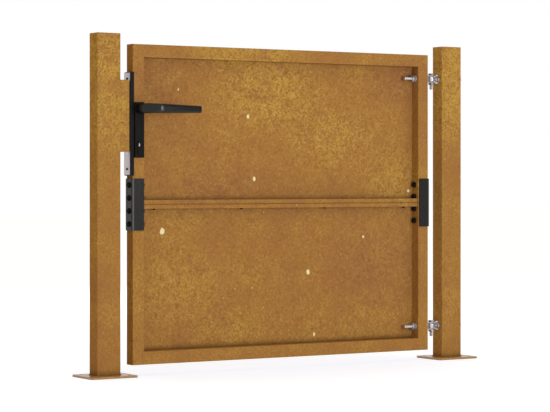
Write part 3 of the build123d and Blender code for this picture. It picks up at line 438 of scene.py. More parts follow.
# Amounts by which the roughness of each kind of finish varies, and the least and most of bare metal's tone
RUST_VARIES = 0.08
COAT_VARIES = 0.06
METAL_VARIES = 0.07
METAL_TONE = (0.86, 1.08)


def strayed(tree, place, layer, amount):
    """Place that wanders with a noise layer, by up to half the amount each way."""
    wander = add(tree, "VectorMath", {0: layer.outputs["Color"], 1: (amount,) * 3, 2: (-amount / 2,) * 3},
                 operation="MULTIPLY_ADD")
    return add(tree, "VectorMath", {0: place, 1: wander}, operation="ADD")


def zone(tree, place, patches):
    """Share that the patches give each point. A patch is (x, z, half width, half height, share) in
    metres: it has its whole share in its middle, and fades to none a little past its edge. Where
    patches meet, the larger share counts."""
    total = 0.0
    for x, z, half_x, half_z, share in patches:
        inside = add(tree, "VectorMath", {0: place, 1: (1 / half_x, 0, 1 / half_z),
                                          2: (-x / half_x, 0, -z / half_z)}, operation="MULTIPLY_ADD")
        far = add(tree, "VectorMath", {0: inside}, operation="LENGTH")
        near = add(tree, "MapRange", {"Value": far, "From Min": PATCH_NONE, "From Max": PATCH_WHOLE,
                                      "To Max": share}, interpolation_type="SMOOTHSTEP")
        total = add(tree, "Math", {0: total, 1: near}, operation="MAXIMUM")
    return total


def rust_layers(tree, place):
    """Patterns that the rust is made of. A curl runs where its noise crosses the middle value, and chance
    is one value for each fleck."""
    layers = {}
    for layer, (size, detail, distortion) in RUST_LAYERS.items():
        layers[layer] = add(tree, "TexNoise", {"Vector": place, "Scale": 1 / size, "Detail": detail,
                                               "Roughness": 0.6, "Distortion": distortion})
    off_middle = add(tree, "Math", {0: layers["curl"], 1: 0.5}, operation="SUBTRACT")
    layers["curl"] = add(tree, "Math", {0: off_middle}, operation="ABSOLUTE")
    layers["fleck"] = add(tree, "TexVoronoi", {"Vector": place, "Scale": 1 / RUST_FLECK})
    layers["chance"] = add(tree, "SeparateColor", {0: layers["fleck"].outputs["Color"]})
    return layers


def rust_coats(tree, place, layers, colours, ochre_patches, red_patches):
    """Shares and colours of the rust itself, in the order in which they lie on each other."""
    shares = {}
    for key, (layer, start, end, least, most) in RUST_SHARES.items():
        shares[key] = add(tree, "MapRange", {"Value": layers[layer], "From Min": start, "From Max": end,
                                             "To Min": least, "To Max": most},
                          interpolation_type="SMOOTHSTEP")

    # The patches' edges wander with the clouds
    wandering = strayed(tree, place, layers["cloud"], ZONE_WANDER)
    ochre = add(tree, "Math", {0: shares["ochre"], 1: zone(tree, wandering, ochre_patches)},
                operation="MAXIMUM")
    red = add(tree, "Math", {0: shares["red"], 1: zone(tree, wandering, red_patches)},
              operation="MAXIMUM")

    # Bloom lies in curls and spots, and the steel is rougher where it blooms
    bloom = add(tree, "Math", {0: ochre, 1: shares["curls"]}, operation="MULTIPLY")
    bloom = add(tree, "Math", {0: bloom, 1: shares["spots"]}, operation="MULTIPLY")
    coarse = add(tree, "MapRange", {"Value": ochre, "From Min": 0.1, "From Max": 0.8, "To Min": 0.5},
                 interpolation_type="SMOOTHSTEP")
    pits = add(tree, "Math", {0: shares["pits"], 1: coarse}, operation="MULTIPLY")
    grits = add(tree, "Math", {0: shares["grits"], 1: coarse}, operation="MULTIPLY")
    inside = add(tree, "Math", {0: shares["fleck size"], 1: layers["fleck"].outputs["Distance"]},
                 operation="SUBTRACT")
    flecked = add(tree, "MapRange", {"Value": inside, "From Max": 0.06, "To Max": 0.6},
                  interpolation_type="SMOOTHSTEP")
    return [(red, colours.rust_red), (bloom, colours.rust_ochre), (pits, colours.rust_dark),
            (grits, colours.rust_fleck), (flecked, colours.rust_fleck)]


def rust_chips_and_shades(tree, place, layers, colours, chips, shade_lines, sheet):
    """Shares and colours of the chips and of the painted shade. A shade line is (height, reach, share) in
    metres: it fades with the 1.5 power of the distance above or below that height. With a sheet's (front,
    rear) places in Y, chips and shade lines are on its front face alone."""
    chips_and_shades = []
    if chips:
        torn = strayed(tree, place, layers["blotch"], CHIP_WANDER)
        chipped = add(tree, "MapRange", {"Value": zone(tree, torn, chips), "From Min": 0.5,
                                         "From Max": 0.75, "To Max": 0.95},
                      interpolation_type="SMOOTHSTEP")
        chips_and_shades.append((chipped, colours.rust_chip))
    here = add(tree, "SeparateXYZ", {0: place}).outputs
    # Painted shade: a dark line at each given height, fading above and below it
    for height, reach, share in shade_lines:
        gap = add(tree, "Math", {0: here["Z"], 1: height}, operation="SUBTRACT")
        gap = add(tree, "Math", {0: gap}, operation="ABSOLUTE")
        near = add(tree, "MapRange", {"Value": gap, "From Min": reach, "From Max": 0.0})
        near = add(tree, "Math", {0: near, 1: 1.5}, operation="POWER")
        shade_share = add(tree, "Math", {0: near, 1: share}, operation="MULTIPLY")
        chips_and_shades.append((shade_share, colours.painted_shade))
    if sheet:
        front, rear = sheet
        facing = add(tree, "MapRange", {"Value": here["Y"], "From Min": rear, "From Max": front})
        chips_and_shades = [(add(tree, "Math", {0: share, 1: facing}, operation="MULTIPLY"), shade)
                 for share, shade in chips_and_shades]
    return chips_and_shades


def weathering_steel(name, colours, shift, ochre_patches=(), red_patches=(), chips=(), shade_lines=(),
                     sheet=None, shine=0.05, dull=0.86):
    """Weathering steel rusted in the open: brown, with redder and more yellow zones, curly ochre bloom,
    dark pits and a few pale chips, and dark lines of painted shade at the given heights. It looks dry and
    dull, and only its grain catches light. The shift moves the patterns, so that no two pieces are alike."""
    material, tree = new_material(name)
    place = add(tree, "TexCoord").outputs["Object"]
    layers = rust_layers(tree, add(tree, "Mapping", {"Vector": place, "Location": shift}))
    coats = rust_coats(tree, place, layers, colours, ochre_patches, red_patches)
    # The chips, and the dark lines of painted shade
    coats += rust_chips_and_shades(tree, place, layers, colours, chips, shade_lines, sheet)
    tint = tuple(colours.rust)
    for share, shade in coats:
        tint = add(tree, "Mix", {0: share, 6: tint, 7: tuple(shade)}, data_type="RGBA")
    rough = add(tree, "MapRange", {"Value": layers["grain"], "From Min": NOISE_LOW, "From Max": NOISE_HIGH,
                                   "To Min": dull - RUST_VARIES, "To Max": dull + RUST_VARIES},
                interpolation_type="SMOOTHSTEP")
    fine = add(tree, "Math", {0: layers["grain"], 1: 0.6}, operation="MULTIPLY")
    relief = add(tree, "Math", {0: layers["blotch"], 1: 0.4, 2: fine}, operation="MULTIPLY_ADD")
    bump = add(tree, "Bump", {"Height": relief, "Strength": 0.3, "Distance": 0.5 * MM})
    shader = add(tree, "BsdfPrincipled", {"Base Color": tint, "Roughness": rough,
                                          "Specular IOR Level": shine, "Normal": bump})
    add(tree, "OutputMaterial", {"Surface": shader})
    return material


# Distances from the middle of a bent edge at which the painted highlight is full and gone
HIGHLIGHT_FULL = 0.8 * MM
HIGHLIGHT_GONE = 2.8 * MM

# Place on the brackets' bend, from its side to its front, where the painted highlight is brightest
BEND_HIGHLIGHT = radians(66)


def coated(name, base, roughness, shine, grain, depth, change, painted_highlight=None, edges=()):
    """A coat over metal or a moulded surface: one colour that varies by a small share, with a fine skin
    of bumps of the given grain and depth that breaks up its gloss. Along upright edges at (x, y) a paler
    colour is painted in as a highlight."""
    material, tree = new_material(name)
    place = add(tree, "TexCoord").outputs["Object"]
    peel = add(tree, "TexNoise", {"Vector": place, "Scale": 1 / grain, "Detail": 2.0})
    cloud = add(tree, "TexNoise", {"Vector": place, "Scale": 0.1 / grain, "Detail": 3.0})
    tone = add(tree, "MapRange", {"Value": cloud, "From Min": NOISE_LOW, "From Max": NOISE_HIGH,
                                  "To Min": 1 - change, "To Max": 1 + change})
    tint = add(tree, "VectorMath", {0: tuple(base)[:3], 3: tone}, operation="SCALE")
    # Painted highlight: a paler colour laid along each upright edge
    for x, y in edges:
        away = add(tree, "VectorMath", {0: place, 1: (1, 1, 0), 2: (-x, -y, 0)},
                   operation="MULTIPLY_ADD")
        far = add(tree, "VectorMath", {0: away}, operation="LENGTH")
        near = add(tree, "MapRange", {"Value": far, "From Min": HIGHLIGHT_GONE, "From Max": HIGHLIGHT_FULL},
                   interpolation_type="SMOOTHSTEP")
        tint = add(tree, "Mix", {0: near, 6: tint, 7: tuple(painted_highlight)}, data_type="RGBA")
    rough = add(tree, "MapRange", {"Value": peel, "From Min": NOISE_LOW, "From Max": NOISE_HIGH,
                                   "To Min": roughness - COAT_VARIES, "To Max": roughness + COAT_VARIES})
    bump = add(tree, "Bump", {"Height": peel, "Strength": 0.25, "Distance": depth})
    shader = add(tree, "BsdfPrincipled", {"Base Color": tint, "Roughness": rough,
                                          "Specular IOR Level": shine, "Normal": bump})
    add(tree, "OutputMaterial", {"Surface": shader})
    return material


def bare_metal(name, base, roughness, grain, stretch=(1, 1, 1)):
    """A bare or plated metal: its colour is its reflection. Stretched noise gives the marks that rolling,
    brushing or plating leave, as streaks in the gloss."""
    material, tree = new_material(name)
    place = add(tree, "TexCoord").outputs["Object"]
    drawn = add(tree, "Mapping", {"Vector": place, "Scale": stretch})
    streak = add(tree, "TexNoise", {"Vector": drawn, "Scale": 1 / grain, "Detail": 4.0})
    tone = add(tree, "MapRange", {"Value": streak, "From Min": NOISE_LOW, "From Max": NOISE_HIGH,
                                  "To Min": METAL_TONE[0], "To Max": METAL_TONE[1]})
    tint = add(tree, "VectorMath", {0: tuple(base)[:3], 3: tone}, operation="SCALE")
    rough = add(tree, "MapRange", {"Value": streak, "From Min": NOISE_LOW, "From Max": NOISE_HIGH,
                                   "To Min": roughness - METAL_VARIES, "To Max": roughness + METAL_VARIES})
    bump = add(tree, "Bump", {"Height": streak, "Strength": 0.1, "Distance": 0.1 * MM})
    shader = add(tree, "BsdfPrincipled", {"Base Color": tint, "Metallic": 1.0, "Roughness": rough,
                                          "Normal": bump})
    add(tree, "OutputMaterial", {"Surface": shader})
    return material


def zinc_plate(colours):
    """Bright zinc plate on turned steel: a pale, slightly blue mirror with a faint cloudy bloom."""
    return bare_metal("zinc plated steel", colours.zinc, roughness=0.3, grain=4 * MM)


def nickelled_brass(colours):
    """Nickel plate on brass: a warm, even mirror."""
    return bare_metal("nickelled brass", colours.nickel, roughness=0.26, grain=2 * MM)


def brushed_steel(colours):
    """Steel brushed along its length: its reflection is drawn out into upright hairlines."""
    return bare_metal("brushed steel", colours.forend, roughness=0.38, grain=0.8 * MM, stretch=(1, 1, 0.04))


def black_steel(colours):
    """Blackened steel of bolts and nuts: oiled black, half dull, with soft highlights on its edges."""
    return coated("blackened steel", colours.fastener, roughness=0.42, shine=0.14, grain=1.2 * MM,
                  depth=0.05 * MM, change=0.12)


def lever_finish(colours):
    """Satin black coat on a cast lever: near black, and it mirrors the studio softly."""
    return coated("satin black coat", colours.lever, roughness=0.16, shine=0.31, grain=1.5 * MM,
                  depth=0.008 * MM, change=0.06)


def plate_finish(colours):
    """Matt black coat of the escutcheons, necks and plugs: near black with hardly any sheen."""
    return coated("matt black coat", colours.lever, roughness=0.5, shine=0.1, grain=1.2 * MM,
                  depth=0.03 * MM, change=0.06)


def moulded_nylon(colours):
    """Moulded nylon: flat black with a fine spark-eroded grain."""
    return coated("moulded black nylon", colours.nylon, roughness=0.5, shine=0.15, grain=0.9 * MM,
                  depth=0.05 * MM, change=0.04)


def powder_coat(colours, bends):
    """Powder coat: an even dark grey with a fine orange peel and a soft sheen, and a painted highlight along
    the bends.
    """
    return coated("dark grey powder coat", colours.coat, roughness=0.27, shine=0.17, grain=1.6 * MM,
                  depth=0.05 * MM, change=0.05, painted_highlight=colours.painted_bend_highlight, edges=bends)


# Zones and large chips of the rust, each (x, z, half width, half height, share) in metres
LATCH_POST_OCHRE = [(-0.487, 0.74, 0.1, 0.12, 1.0), (-0.48, 0.6, 0.08, 0.1, 1.0),
                    (-0.49, 0.14, 0.07, 0.06, 0.5)]
HINGE_POST_OCHRE = [(0.487, 0.7, 0.1, 0.2, 1.0), (0.49, 0.14, 0.07, 0.06, 0.7)]
LEAF_OCHRE = [(-0.03, 0.655, 0.21, 0.11, 0.95), (0.15, 0.56, 0.2, 0.11, 0.75), (0.33, 0.45, 0.14, 0.11, 0.65),
              (-0.29, 0.2, 0.17, 0.13, 0.6), (-0.15, 0.1, 0.18, 0.07, 0.65), (-0.12, 0.75, 0.2, 0.06, 0.9),
              (-0.41, 0.2, 0.06, 0.1, 0.6)]
LEAF_RED = [(-0.35, 0.66, 0.1, 0.12, 1.0), (0.34, 0.69, 0.1, 0.07, 1.0), (-0.2, 0.44, 0.2, 0.06, 1.0),
            (0.26, 0.24, 0.18, 0.1, 1.0)]
LEAF_CHIPS = [(-0.331, 0.332, 0.009, 0.0115, 1.0), (-0.096, 0.603, 0.0055, 0.0072, 1.0),
              (-0.079, 0.4545, 0.006, 0.0085, 1.0), (0.075, 0.227, 0.007, 0.0095, 1.0),
              (0.093, 0.075, 0.005, 0.008, 0.9), (0.238, 0.31, 0.005, 0.006, 0.9),
              (-0.288, 0.664, 0.0035, 0.005, 0.8), (0.375, 0.424, 0.006, 0.006, 0.9)]

# Reach and share of the painted shade lines at the posts' feet, under each panel and in the joint of the
# strips
FOOT_SHADE = (16 * MM, 0.6)
STRIP_SHADE = (13 * MM, 0.5)
RAIL_SHADE = (15 * MM, 0.75)
JOINT_SHADE = (4 * MM, 0.25)


class GATE_OT_rusted_posts(Operator):
    """Finish both posts, their caps, plates and the strike in rusted steel"""
    bl_idname = "gate.rusted_posts"
    bl_label = "Rusted posts"

    def execute(self, context):
        colours = context.scene.gate_colours
        # Painted shade: a dark line on the posts just above the base plates
        foot = [(box_of("latch_base_plate")[1][2], *FOOT_SHADE)]
        latch = weathering_steel("weathering steel, latch post", colours, (0.31, 0.12, 0.57),
                                 LATCH_POST_OCHRE, shade_lines=foot)
        hinge = weathering_steel("weathering steel, hinge post", colours, (0.83, 0.45, 0.21),
                                 HINGE_POST_OCHRE, shade_lines=foot)
        # The base plates lie flat and are walked on, so they are smoother and mirror their surroundings
        plates = weathering_steel("weathering steel, base plates", colours, (0.2, 0.7, 0.4),
                                  shine=0.8, dull=0.3)
        finish_nodes(latch, "latch_post_tube", "latch_post_cap", "strike_box", "strike_plate")
        finish_nodes(hinge, "hinge_post_tube", "hinge_post_cap")
        finish_nodes(plates, "latch_base_plate", "hinge_base_plate")
        return {"FINISHED"}


class GATE_OT_rusted_leaf(Operator):
    """Finish the leaf's frame, panels and middle strips in rusted steel"""
    bl_idname = "gate.rusted_leaf"
    bl_label = "Rusted leaf"

    def execute(self, context):
        # Painted shade lines along the ledge under each panel and in the joint between the middle strips
        joint, strip = box_of("upper_middle_channel")
        shaded_ledges = [(strip[2], *STRIP_SHADE), (box_of("bottom_rail")[1][2], *RAIL_SHADE)]
        front, rear = box_of("upper_panel")
        rust = (context.scene.gate_colours, (0.1, 0.0, 0.3), LEAF_OCHRE, LEAF_RED, LEAF_CHIPS)
        sheet = (front[1], rear[1])
        panels = weathering_steel("weathering steel, panels", *rust, shaded_ledges, sheet)
        tubes = weathering_steel("weathering steel, frame tubes", *rust, [(joint[2], *JOINT_SHADE)], sheet)
        finish_nodes(panels, "upper_panel", "lower_panel")
        finish_nodes(tubes, "upper_latch_stile", "lower_latch_stile", "upper_hinge_stile",
                     "lower_hinge_stile", "top_rail", "bottom_rail", "upper_middle_channel",
                     "lower_middle_channel")
        return {"FINISHED"}


class GATE_OT_lock_finishes(Operator):
    """Finish the brackets and the lock's plain parts"""
    bl_idname = "gate.lock_finishes"
    bl_label = "Bracket and lock finishes"

    def execute(self, context):
        sizes, colours = context.scene.gate_sizes, context.scene.gate_colours
        latch, hinge = box_of("latch_side_bracket"), box_of("hinge_side_bracket")
        # The painted highlight is brightest near the bend's front
        in_x = sizes.bracket_bend * (1 - cos(BEND_HIGHLIGHT))
        in_y = sizes.bracket_bend * (1 - sin(BEND_HIGHLIGHT))
        bends = [(latch[0][0] + in_x, latch[0][1] + in_y), (hinge[1][0] - in_x, hinge[0][1] + in_y)]
        finish_nodes(powder_coat(colours, bends), "latch_side_bracket", "hinge_side_bracket")
        finish_nodes(moulded_nylon(colours), "lock_housing")
        finish_nodes(brushed_steel(colours), "lock_forend", "latch_bolt", "dead_bolt")
        finish_nodes(plate_finish(colours), "front_escutcheon", "rear_escutcheon", "cylinder_body")
        finish_nodes(zinc_plate(colours), "lock_case", "handle_spindle", "lock_follower",
                     "cylinder_screw", "cylinder_cam", "hinge_sleeves")
        return {"FINISHED"}


# Powers of the superellipses of the keyway guide's outline and of its slot
GUIDE_POWER = 2.5
SLOT_POWER = 6


class GATE_OT_key_plugs(Operator):
    """Build the cylinder's plugs and the bright guides round their keyways"""
    bl_idname = "gate.key_plugs"
    bl_label = "Key plugs"

    def execute(self, context):
        sizes, colours = context.scene.gate_sizes, context.scene.gate_colours
        nickel, black = nickelled_brass(colours), plate_finish(colours)
        half_width, half_height = sizes.keyway / 2, sizes.keyway_height / 2
        step, edge = sizes.keyway_step, sizes.nut_edge
        outer = oval(half_width, half_height, GUIDE_POWER)[None]
        slot = oval(0.3 * half_width, 0.8 * half_height, SLOT_POWER)[None]
        for name, side, body in (("front", -1, "key_plug"), ("rear", 1, "leaf")):
            low, high = box_of(f"{name}_key_plug")
            radius, depth = (high[0] - low[0]) / 2, high[1] - low[1]
            face = (low + high) / 2
            face[1] = low[1] if side < 0 else high[1]
            barrel = [rows(-depth, radius), rounded(-step - edge, radius - edge, edge, 0, 90)]
            plug = skin(turned(barrel, face, side * Y, X))
            make_piece(f"{name}_plug", [plug], black, body, BLACK, f"{name}_key_plug")
            ring = [rows(-2 * step, outer), rows(-0.3 * step, outer), rows(0, 0.85 * outer),
                    rows(0, 1.1 * slot), rows(-2 * step, slot)]
            guide = skin(turned(ring, face - half_width * X, side * Y, X), loop=True)
            make_piece(f"{name}_keyway_guide", [guide], nickel, body, BRASS)
        return {"FINISHED"}


# Turns of the latch spring
SPRING_TURNS = 7


class GATE_OT_latch_spring(Operator):
    """Wind the latch's spring as one fixed coil that moves with the leaf"""
    bl_idname = "gate.latch_spring"
    bl_label = "Latch spring"

    def execute(self, context):
        sizes, colours = context.scene.gate_sizes, context.scene.gate_colours
        low, high = box_of("latch_spring")
        middle, wire = (low + high) / 2, sizes.spring_wire
        radius = (high[1] - low[1]) / 2 - wire
        # A helix: a circle's points, carried on along X by the same step each
        turn = np.linspace(0, 2 * pi * SPRING_TURNS, SPRING_TURNS * ROUND // 2)
        along = np.linspace(low[0] + wire, high[0] - wire, len(turn))
        line = np.stack([along, middle[1] + radius * np.cos(turn), middle[2] + radius * np.sin(turn)],
                        axis=-1)
        coil = make_piece("latch_coil", [tube(line, wire, X)], zinc_plate(colours), "leaf", ZINC,
                          "latch_spring")
        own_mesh(coil)
        return {"FINISHED"}


# Gap between a lever's neck and its plate, and the rounding of the neck's rims
NECK_GAP = 0.3 * MM
NECK_RIM = 0.5 * MM

# Rows of points along a lever's straight root, its bend, its grip and its rounded tip
ROOT_ROWS, BEND_ROWS, GRIP_ROWS, TIP_ROWS = 14, 26, 24, 9

# The lever is round, a superellipse of power 2, until this share of a neck's radius before the neck's
# end. It is drawn out to the grip's power within a neck's radius.
DRAW_START = 0.6
GRIP_POWER = 5.5

# Share of the quarter circle by which the lever's tip draws in
TIP_DROP = 0.8


def lever_skin(sizes, spindle, face, side, tip_x, reach, top, bottom):
    """Lever: a section carried out from the escutcheon, round a quarter bend and along to the tip. The
    section is a superellipse whose half width and half heights follow the distance along the path."""
    half, bend, tip = sizes.lever_grip / 2, sizes.lever_bend, sizes.lever_tip
    grip, end = reach - half, tip_x - spindle[0]

    # The path, as distances from the spindle and from the plate, with its lean
    straight = np.linspace(NECK_GAP, grip - bend, ROOT_ROWS)
    turn = np.linspace(0, pi / 2, BEND_ROWS)[1:]
    run = np.concatenate([np.linspace(bend, end - tip, GRIP_ROWS)[1:],
                          end - tip * (1 - np.sin(np.linspace(0, pi / 2, TIP_ROWS)[1:]))])
    out_x = np.concatenate([0 * straight, bend * (1 - np.cos(turn)), run])
    out_y = np.concatenate([straight, grip - bend + bend * np.sin(turn), 0 * run + grip])
    lean = np.concatenate([0 * straight, turn, 0 * run + pi / 2])

    # The section is drawn out from round to the grip's, and the grip tapers to its tip
    taper = np.clip(out_x / end, 0, 1)
    core = sizes.lever_neck - sizes.lever_step
    drawn = np.clip((out_y - sizes.lever_neck_length) / sizes.lever_neck + DRAW_START, 0, 1)
    drawn = drawn * drawn * (3 - 2 * drawn)
    wide = core + (half - core) * drawn
    high = core + (top + (sizes.lever_tip_top - top) * taper - core) * drawn
    low = core + (bottom + (sizes.lever_tip_bottom - bottom) * taper - core) * drawn
    bulge = 2 / (2 + (GRIP_POWER - 2) * drawn)[:, None]

    # The tip is rounded: near the end every half size loses a share of a quarter circle's drop
    past = np.clip((out_x - (end - tip)) / tip, 0, 1)
    drop = TIP_DROP * tip * (1 - np.sqrt(1 - past ** 2))
    sine = np.sin(ANGLES)
    across = (wide - drop)[:, None] * signed_power(np.cos(ANGLES), bulge)
    tall = np.where(sine > 0, (high - drop)[:, None], (low - drop)[:, None])
    points = np.stack([spindle[0] + out_x[:, None] - across * np.cos(lean)[:, None],
                       face + side * (out_y[:, None] + across * np.sin(lean)[:, None]),
                       spindle[2] + tall * signed_power(sine, bulge)], axis=-1)
    # The front lever is the mirrored one, so its section runs the other way round
    return skin(points[:, ::-1] if side < 0 else points)


def neck_skin(sizes, spindle, face, side):
    """Neck of a lever: a turned bar with rounded rims."""
    end = NECK_GAP + sizes.lever_neck_length
    radius = sizes.lever_neck - NECK_RIM
    bar = [rounded(NECK_GAP + NECK_RIM, radius, NECK_RIM, -90, 0),
           rounded(end - NECK_RIM, radius, NECK_RIM, 0, 90)]
    return skin(turned(bar, (spindle[0], face, spindle[2]), side * Y, X))


class GATE_OT_levers(Operator):
    """Build both levers with their necks and set screws"""
    bl_idname = "gate.levers"
    bl_label = "Levers"

    def execute(self, context):
        sizes, colours = context.scene.gate_sizes, context.scene.gate_colours
        satin, matt = lever_finish(colours), plate_finish(colours)
        spindle = sum(box_of("handle_spindle")) / 2
        for name, side in (("front", -1), ("rear", 1)):
            plate = box_of(f"{name}_escutcheon")
            low, high = box_of(f"{name}_lever")
            face = plate[0][1] if side < 0 else plate[1][1]
            reach = abs((low[1] if side < 0 else high[1]) - face)
            casting = lever_skin(sizes, spindle, face, side, high[0], reach,
                                 high[2] - spindle[2], spindle[2] - low[2])
            neck = neck_skin(sizes, spindle, face, side)
            make_piece(f"{name}_lever_casting", [casting], satin, "handle", BLACK, f"{name}_lever")
            make_piece(f"{name}_lever_neck", [neck], matt, "handle", BLACK)
        low, high = box_of("lever_grub_screws")
        radius, depth = sizes.set_screw, sizes.set_screw_depth
        wide = hexagon(sizes.set_screw_socket)[None]
        stem = [rows([low[2] - high[2], 0], radius), rows(0, wide), rows(-depth, 0.95 * wide)]
        screws = [skin(turned(stem, (spindle[0], y, low[2]), -Z, X))
                  for y in (low[1] + radius, high[1] - radius)]
        make_piece("lever_set_screws", screws, black_steel(colours), "handle", DARK, "lever_grub_screws")
        return {"FINISHED"}


# The washers go over the sleeves' collars, the eyes have room to turn on their pins, and the rods have a
# short plain length at their forks
WASHER_BORE = 6.7 * MM
EYE_PLAY = 0.2 * MM
ROD_PLAIN = 0.2 * MM

# Exponent of the fork strip's nearly square section, and the least square of its width's share at its end
FORK_CORNER = 0.2
FORK_END = 0.002

# Rows of points in a fork's bend and in its round end
FORK_BEND_ROWS = 7
FORK_END_ROWS = 14


def fork_skin(sizes, seat, pin_x, z, width, height):
    """Fork bent from one strip: a rounded rectangle carried along a U with round corners. Its width runs
    out in a half circle round the pin at both ends."""
    thickness, bend = sizes.prong, sizes.prong_bend
    half, back, end = (height - thickness) / 2, seat + thickness / 2, width / 2
    corner = np.linspace(0, pi / 2, FORK_BEND_ROWS)
    tip = np.sin(np.linspace(pi / 2, 0, FORK_END_ROWS))
    prong_x = np.concatenate([pin_x + end * tip, [back + bend]])

    # The upper half of the path and of its lean, then the same mirrored
    path_x = np.concatenate([prong_x, back + bend * (1 - np.sin(corner[1:]))])
    path_z = np.concatenate([0 * prong_x + half, half - bend * (1 - np.cos(corner[1:]))])
    lean = np.concatenate([0 * prong_x, corner[1:]])
    path_x = np.concatenate([path_x, path_x[::-1]])
    path_z = np.concatenate([path_z, -path_z[::-1]])
    lean = np.concatenate([lean, pi - lean[::-1]])
    round_end = np.sqrt(np.clip(1 - (np.clip(path_x - pin_x, 0, end) / end) ** 2, FORK_END, 1))
    across = end * round_end[:, None] * signed_power(-np.cos(ANGLES), FORK_CORNER)
    rise = thickness / 2 * signed_power(np.sin(ANGLES), FORK_CORNER)
    return skin(np.stack([path_x[:, None] - rise * np.sin(lean)[:, None], across,
                          z + path_z[:, None] + rise * np.cos(lean)[:, None]], axis=-1))


def eyebolt_skins(sizes, pin_x, z, low, high):
    """Eyebolt: a turned eye round the pin, and a threaded shank that swells into it."""
    eye, rise = (high[1] - low[1]) / 2, (high[2] - low[2]) / 2
    edge, root, radius = 2 * sizes.nut_edge, sizes.eye_root, sizes.rod_radius
    bore = sizes.bolt_radius + EYE_PLAY
    ring = [rows([edge - rise, -rise], [bore, bore + edge]),
            rounded(edge - rise, eye - edge, edge, -90, 0),
            rounded(rise - edge, eye - edge, edge, 0, 90),
            rows([rise, rise - edge], [bore + edge, bore])]
    stem = shank(pin_x - high[0], -(eye + root), radius, sizes.rod_pitch, sizes.rod_thread)
    stem[-1] = rows([-(eye + root), -eye, root - eye], [radius, radius, 1.25 * radius])
    middle = (pin_x, 0, z)
    return [skin(turned(ring, middle, Z, X), loop=True), skin(turned(stem, middle, -X, Y))]


class GATE_OT_hinges(Operator):
    """Build the hinge forks, eyebolts, pins and nuts"""
    bl_idname = "gate.hinges"
    bl_label = "Hinges"

    def execute(self, context):
        sizes, colours = context.scene.gate_sizes, context.scene.gate_colours
        zinc = zinc_plate(colours)
        rod = (sizes.rod_radius, sizes.rod_pitch, sizes.rod_thread)
        bolt = (sizes.bolt_radius, sizes.bolt_pitch, sizes.bolt_thread)
        flange = (sizes.post_flange, sizes.post_flange_height)
        sleeve_low, sleeve_high = box_of("hinge_sleeves")
        seat = sleeve_high[0]
        collar = box_of("upper_hinge_stile")[0][0] - sleeve_low[0]
        post_low, post_high = box_of("hinge_post_tube")
        nut_height = post_low[0] - box_of("eyebolt_nuts")[0][0]
        upper_fork, lower_fork = box_of("upper_hinge_fork"), box_of("lower_hinge_fork")
        pin_head = box_of("hinge_pins")[1][2] - upper_fork[1][2]
        pin_tail = lower_fork[1][2] - box_of("hinge_pins")[0][2]
        pin_nut = lower_fork[0][2] - box_of("hinge_pin_nuts")[0][2]
        pins, pin_nuts, post_nuts, jam_nuts, washers = [], [], [], [], []
        for name, (low, high) in (("upper", upper_fork), ("lower", lower_fork)):
            width, height, z = high[1] - low[1], high[2] - low[2], (low[2] + high[2]) / 2
            pin_x = high[0] - width / 2
            fork = fork_skin(sizes, seat, pin_x, z, width, height)
            stem = shank(low[0] - seat, -ROD_PLAIN, *rod)
            skins = [fork, skin(turned(stem, (seat + sizes.prong / 2, 0, z), X, Y))]
            make_piece(f"{name}_fork_and_rod", skins, zinc, "leaf", ZINC, f"{name}_hinge_fork")
            skins = eyebolt_skins(sizes, pin_x, z, *box_of(f"{name}_post_eyebolt"))
            make_piece(f"{name}_eyebolt_forging", skins, zinc, "posts", ZINC, f"{name}_post_eyebolt")

            # A jam nut locks the rod against the sleeve's collar, on a washer as thick as the collar
            place = (sleeve_low[0], 0, z)
            jam_nuts.append(nut(place, -X, Y, sizes.jam_nut, sizes.jam_nut_height, sizes.rod_radius))
            washers.append(washer(place, X, Y, sizes.washer, collar, WASHER_BORE, sizes.nut_edge))
            stem = shank(-pin_tail, -(height + pin_nut / 2), *bolt)
            top, bottom = (pin_x, 0, z + height / 2), (pin_x, 0, z - height / 2)
            pins.append(hex_bolt(top, Z, X, sizes.bolt_nut, pin_head, stem))
            pin_nuts.append(nut(bottom, -Z, X, sizes.bolt_nut, pin_nut, sizes.bolt_radius))
            for x, axis in ((post_low[0], -X), (post_high[0], X)):
                post_nuts.append(nut((x, 0, z), axis, Y, sizes.post_nut, nut_height, sizes.rod_radius,
                                     flange))
        make_piece("hinge_pin_bolts", pins, zinc, "leaf", ZINC, "hinge_pins")
        make_piece("hinge_pin_hex_nuts", pin_nuts, zinc, "leaf", ZINC, "hinge_pin_nuts")
        make_piece("post_flange_nuts", post_nuts, zinc, "posts", ZINC, "eyebolt_nuts")
        make_piece("rod_jam_nuts", jam_nuts, zinc, "leaf", ZINC)
        make_piece("rod_washers", washers, zinc, "leaf", ZINC)
        return {"FINISHED"}


# Bolts in each bracket, and through the middle strips
BRACKET_BOLTS = 4
STRIP_BOLTS = 4


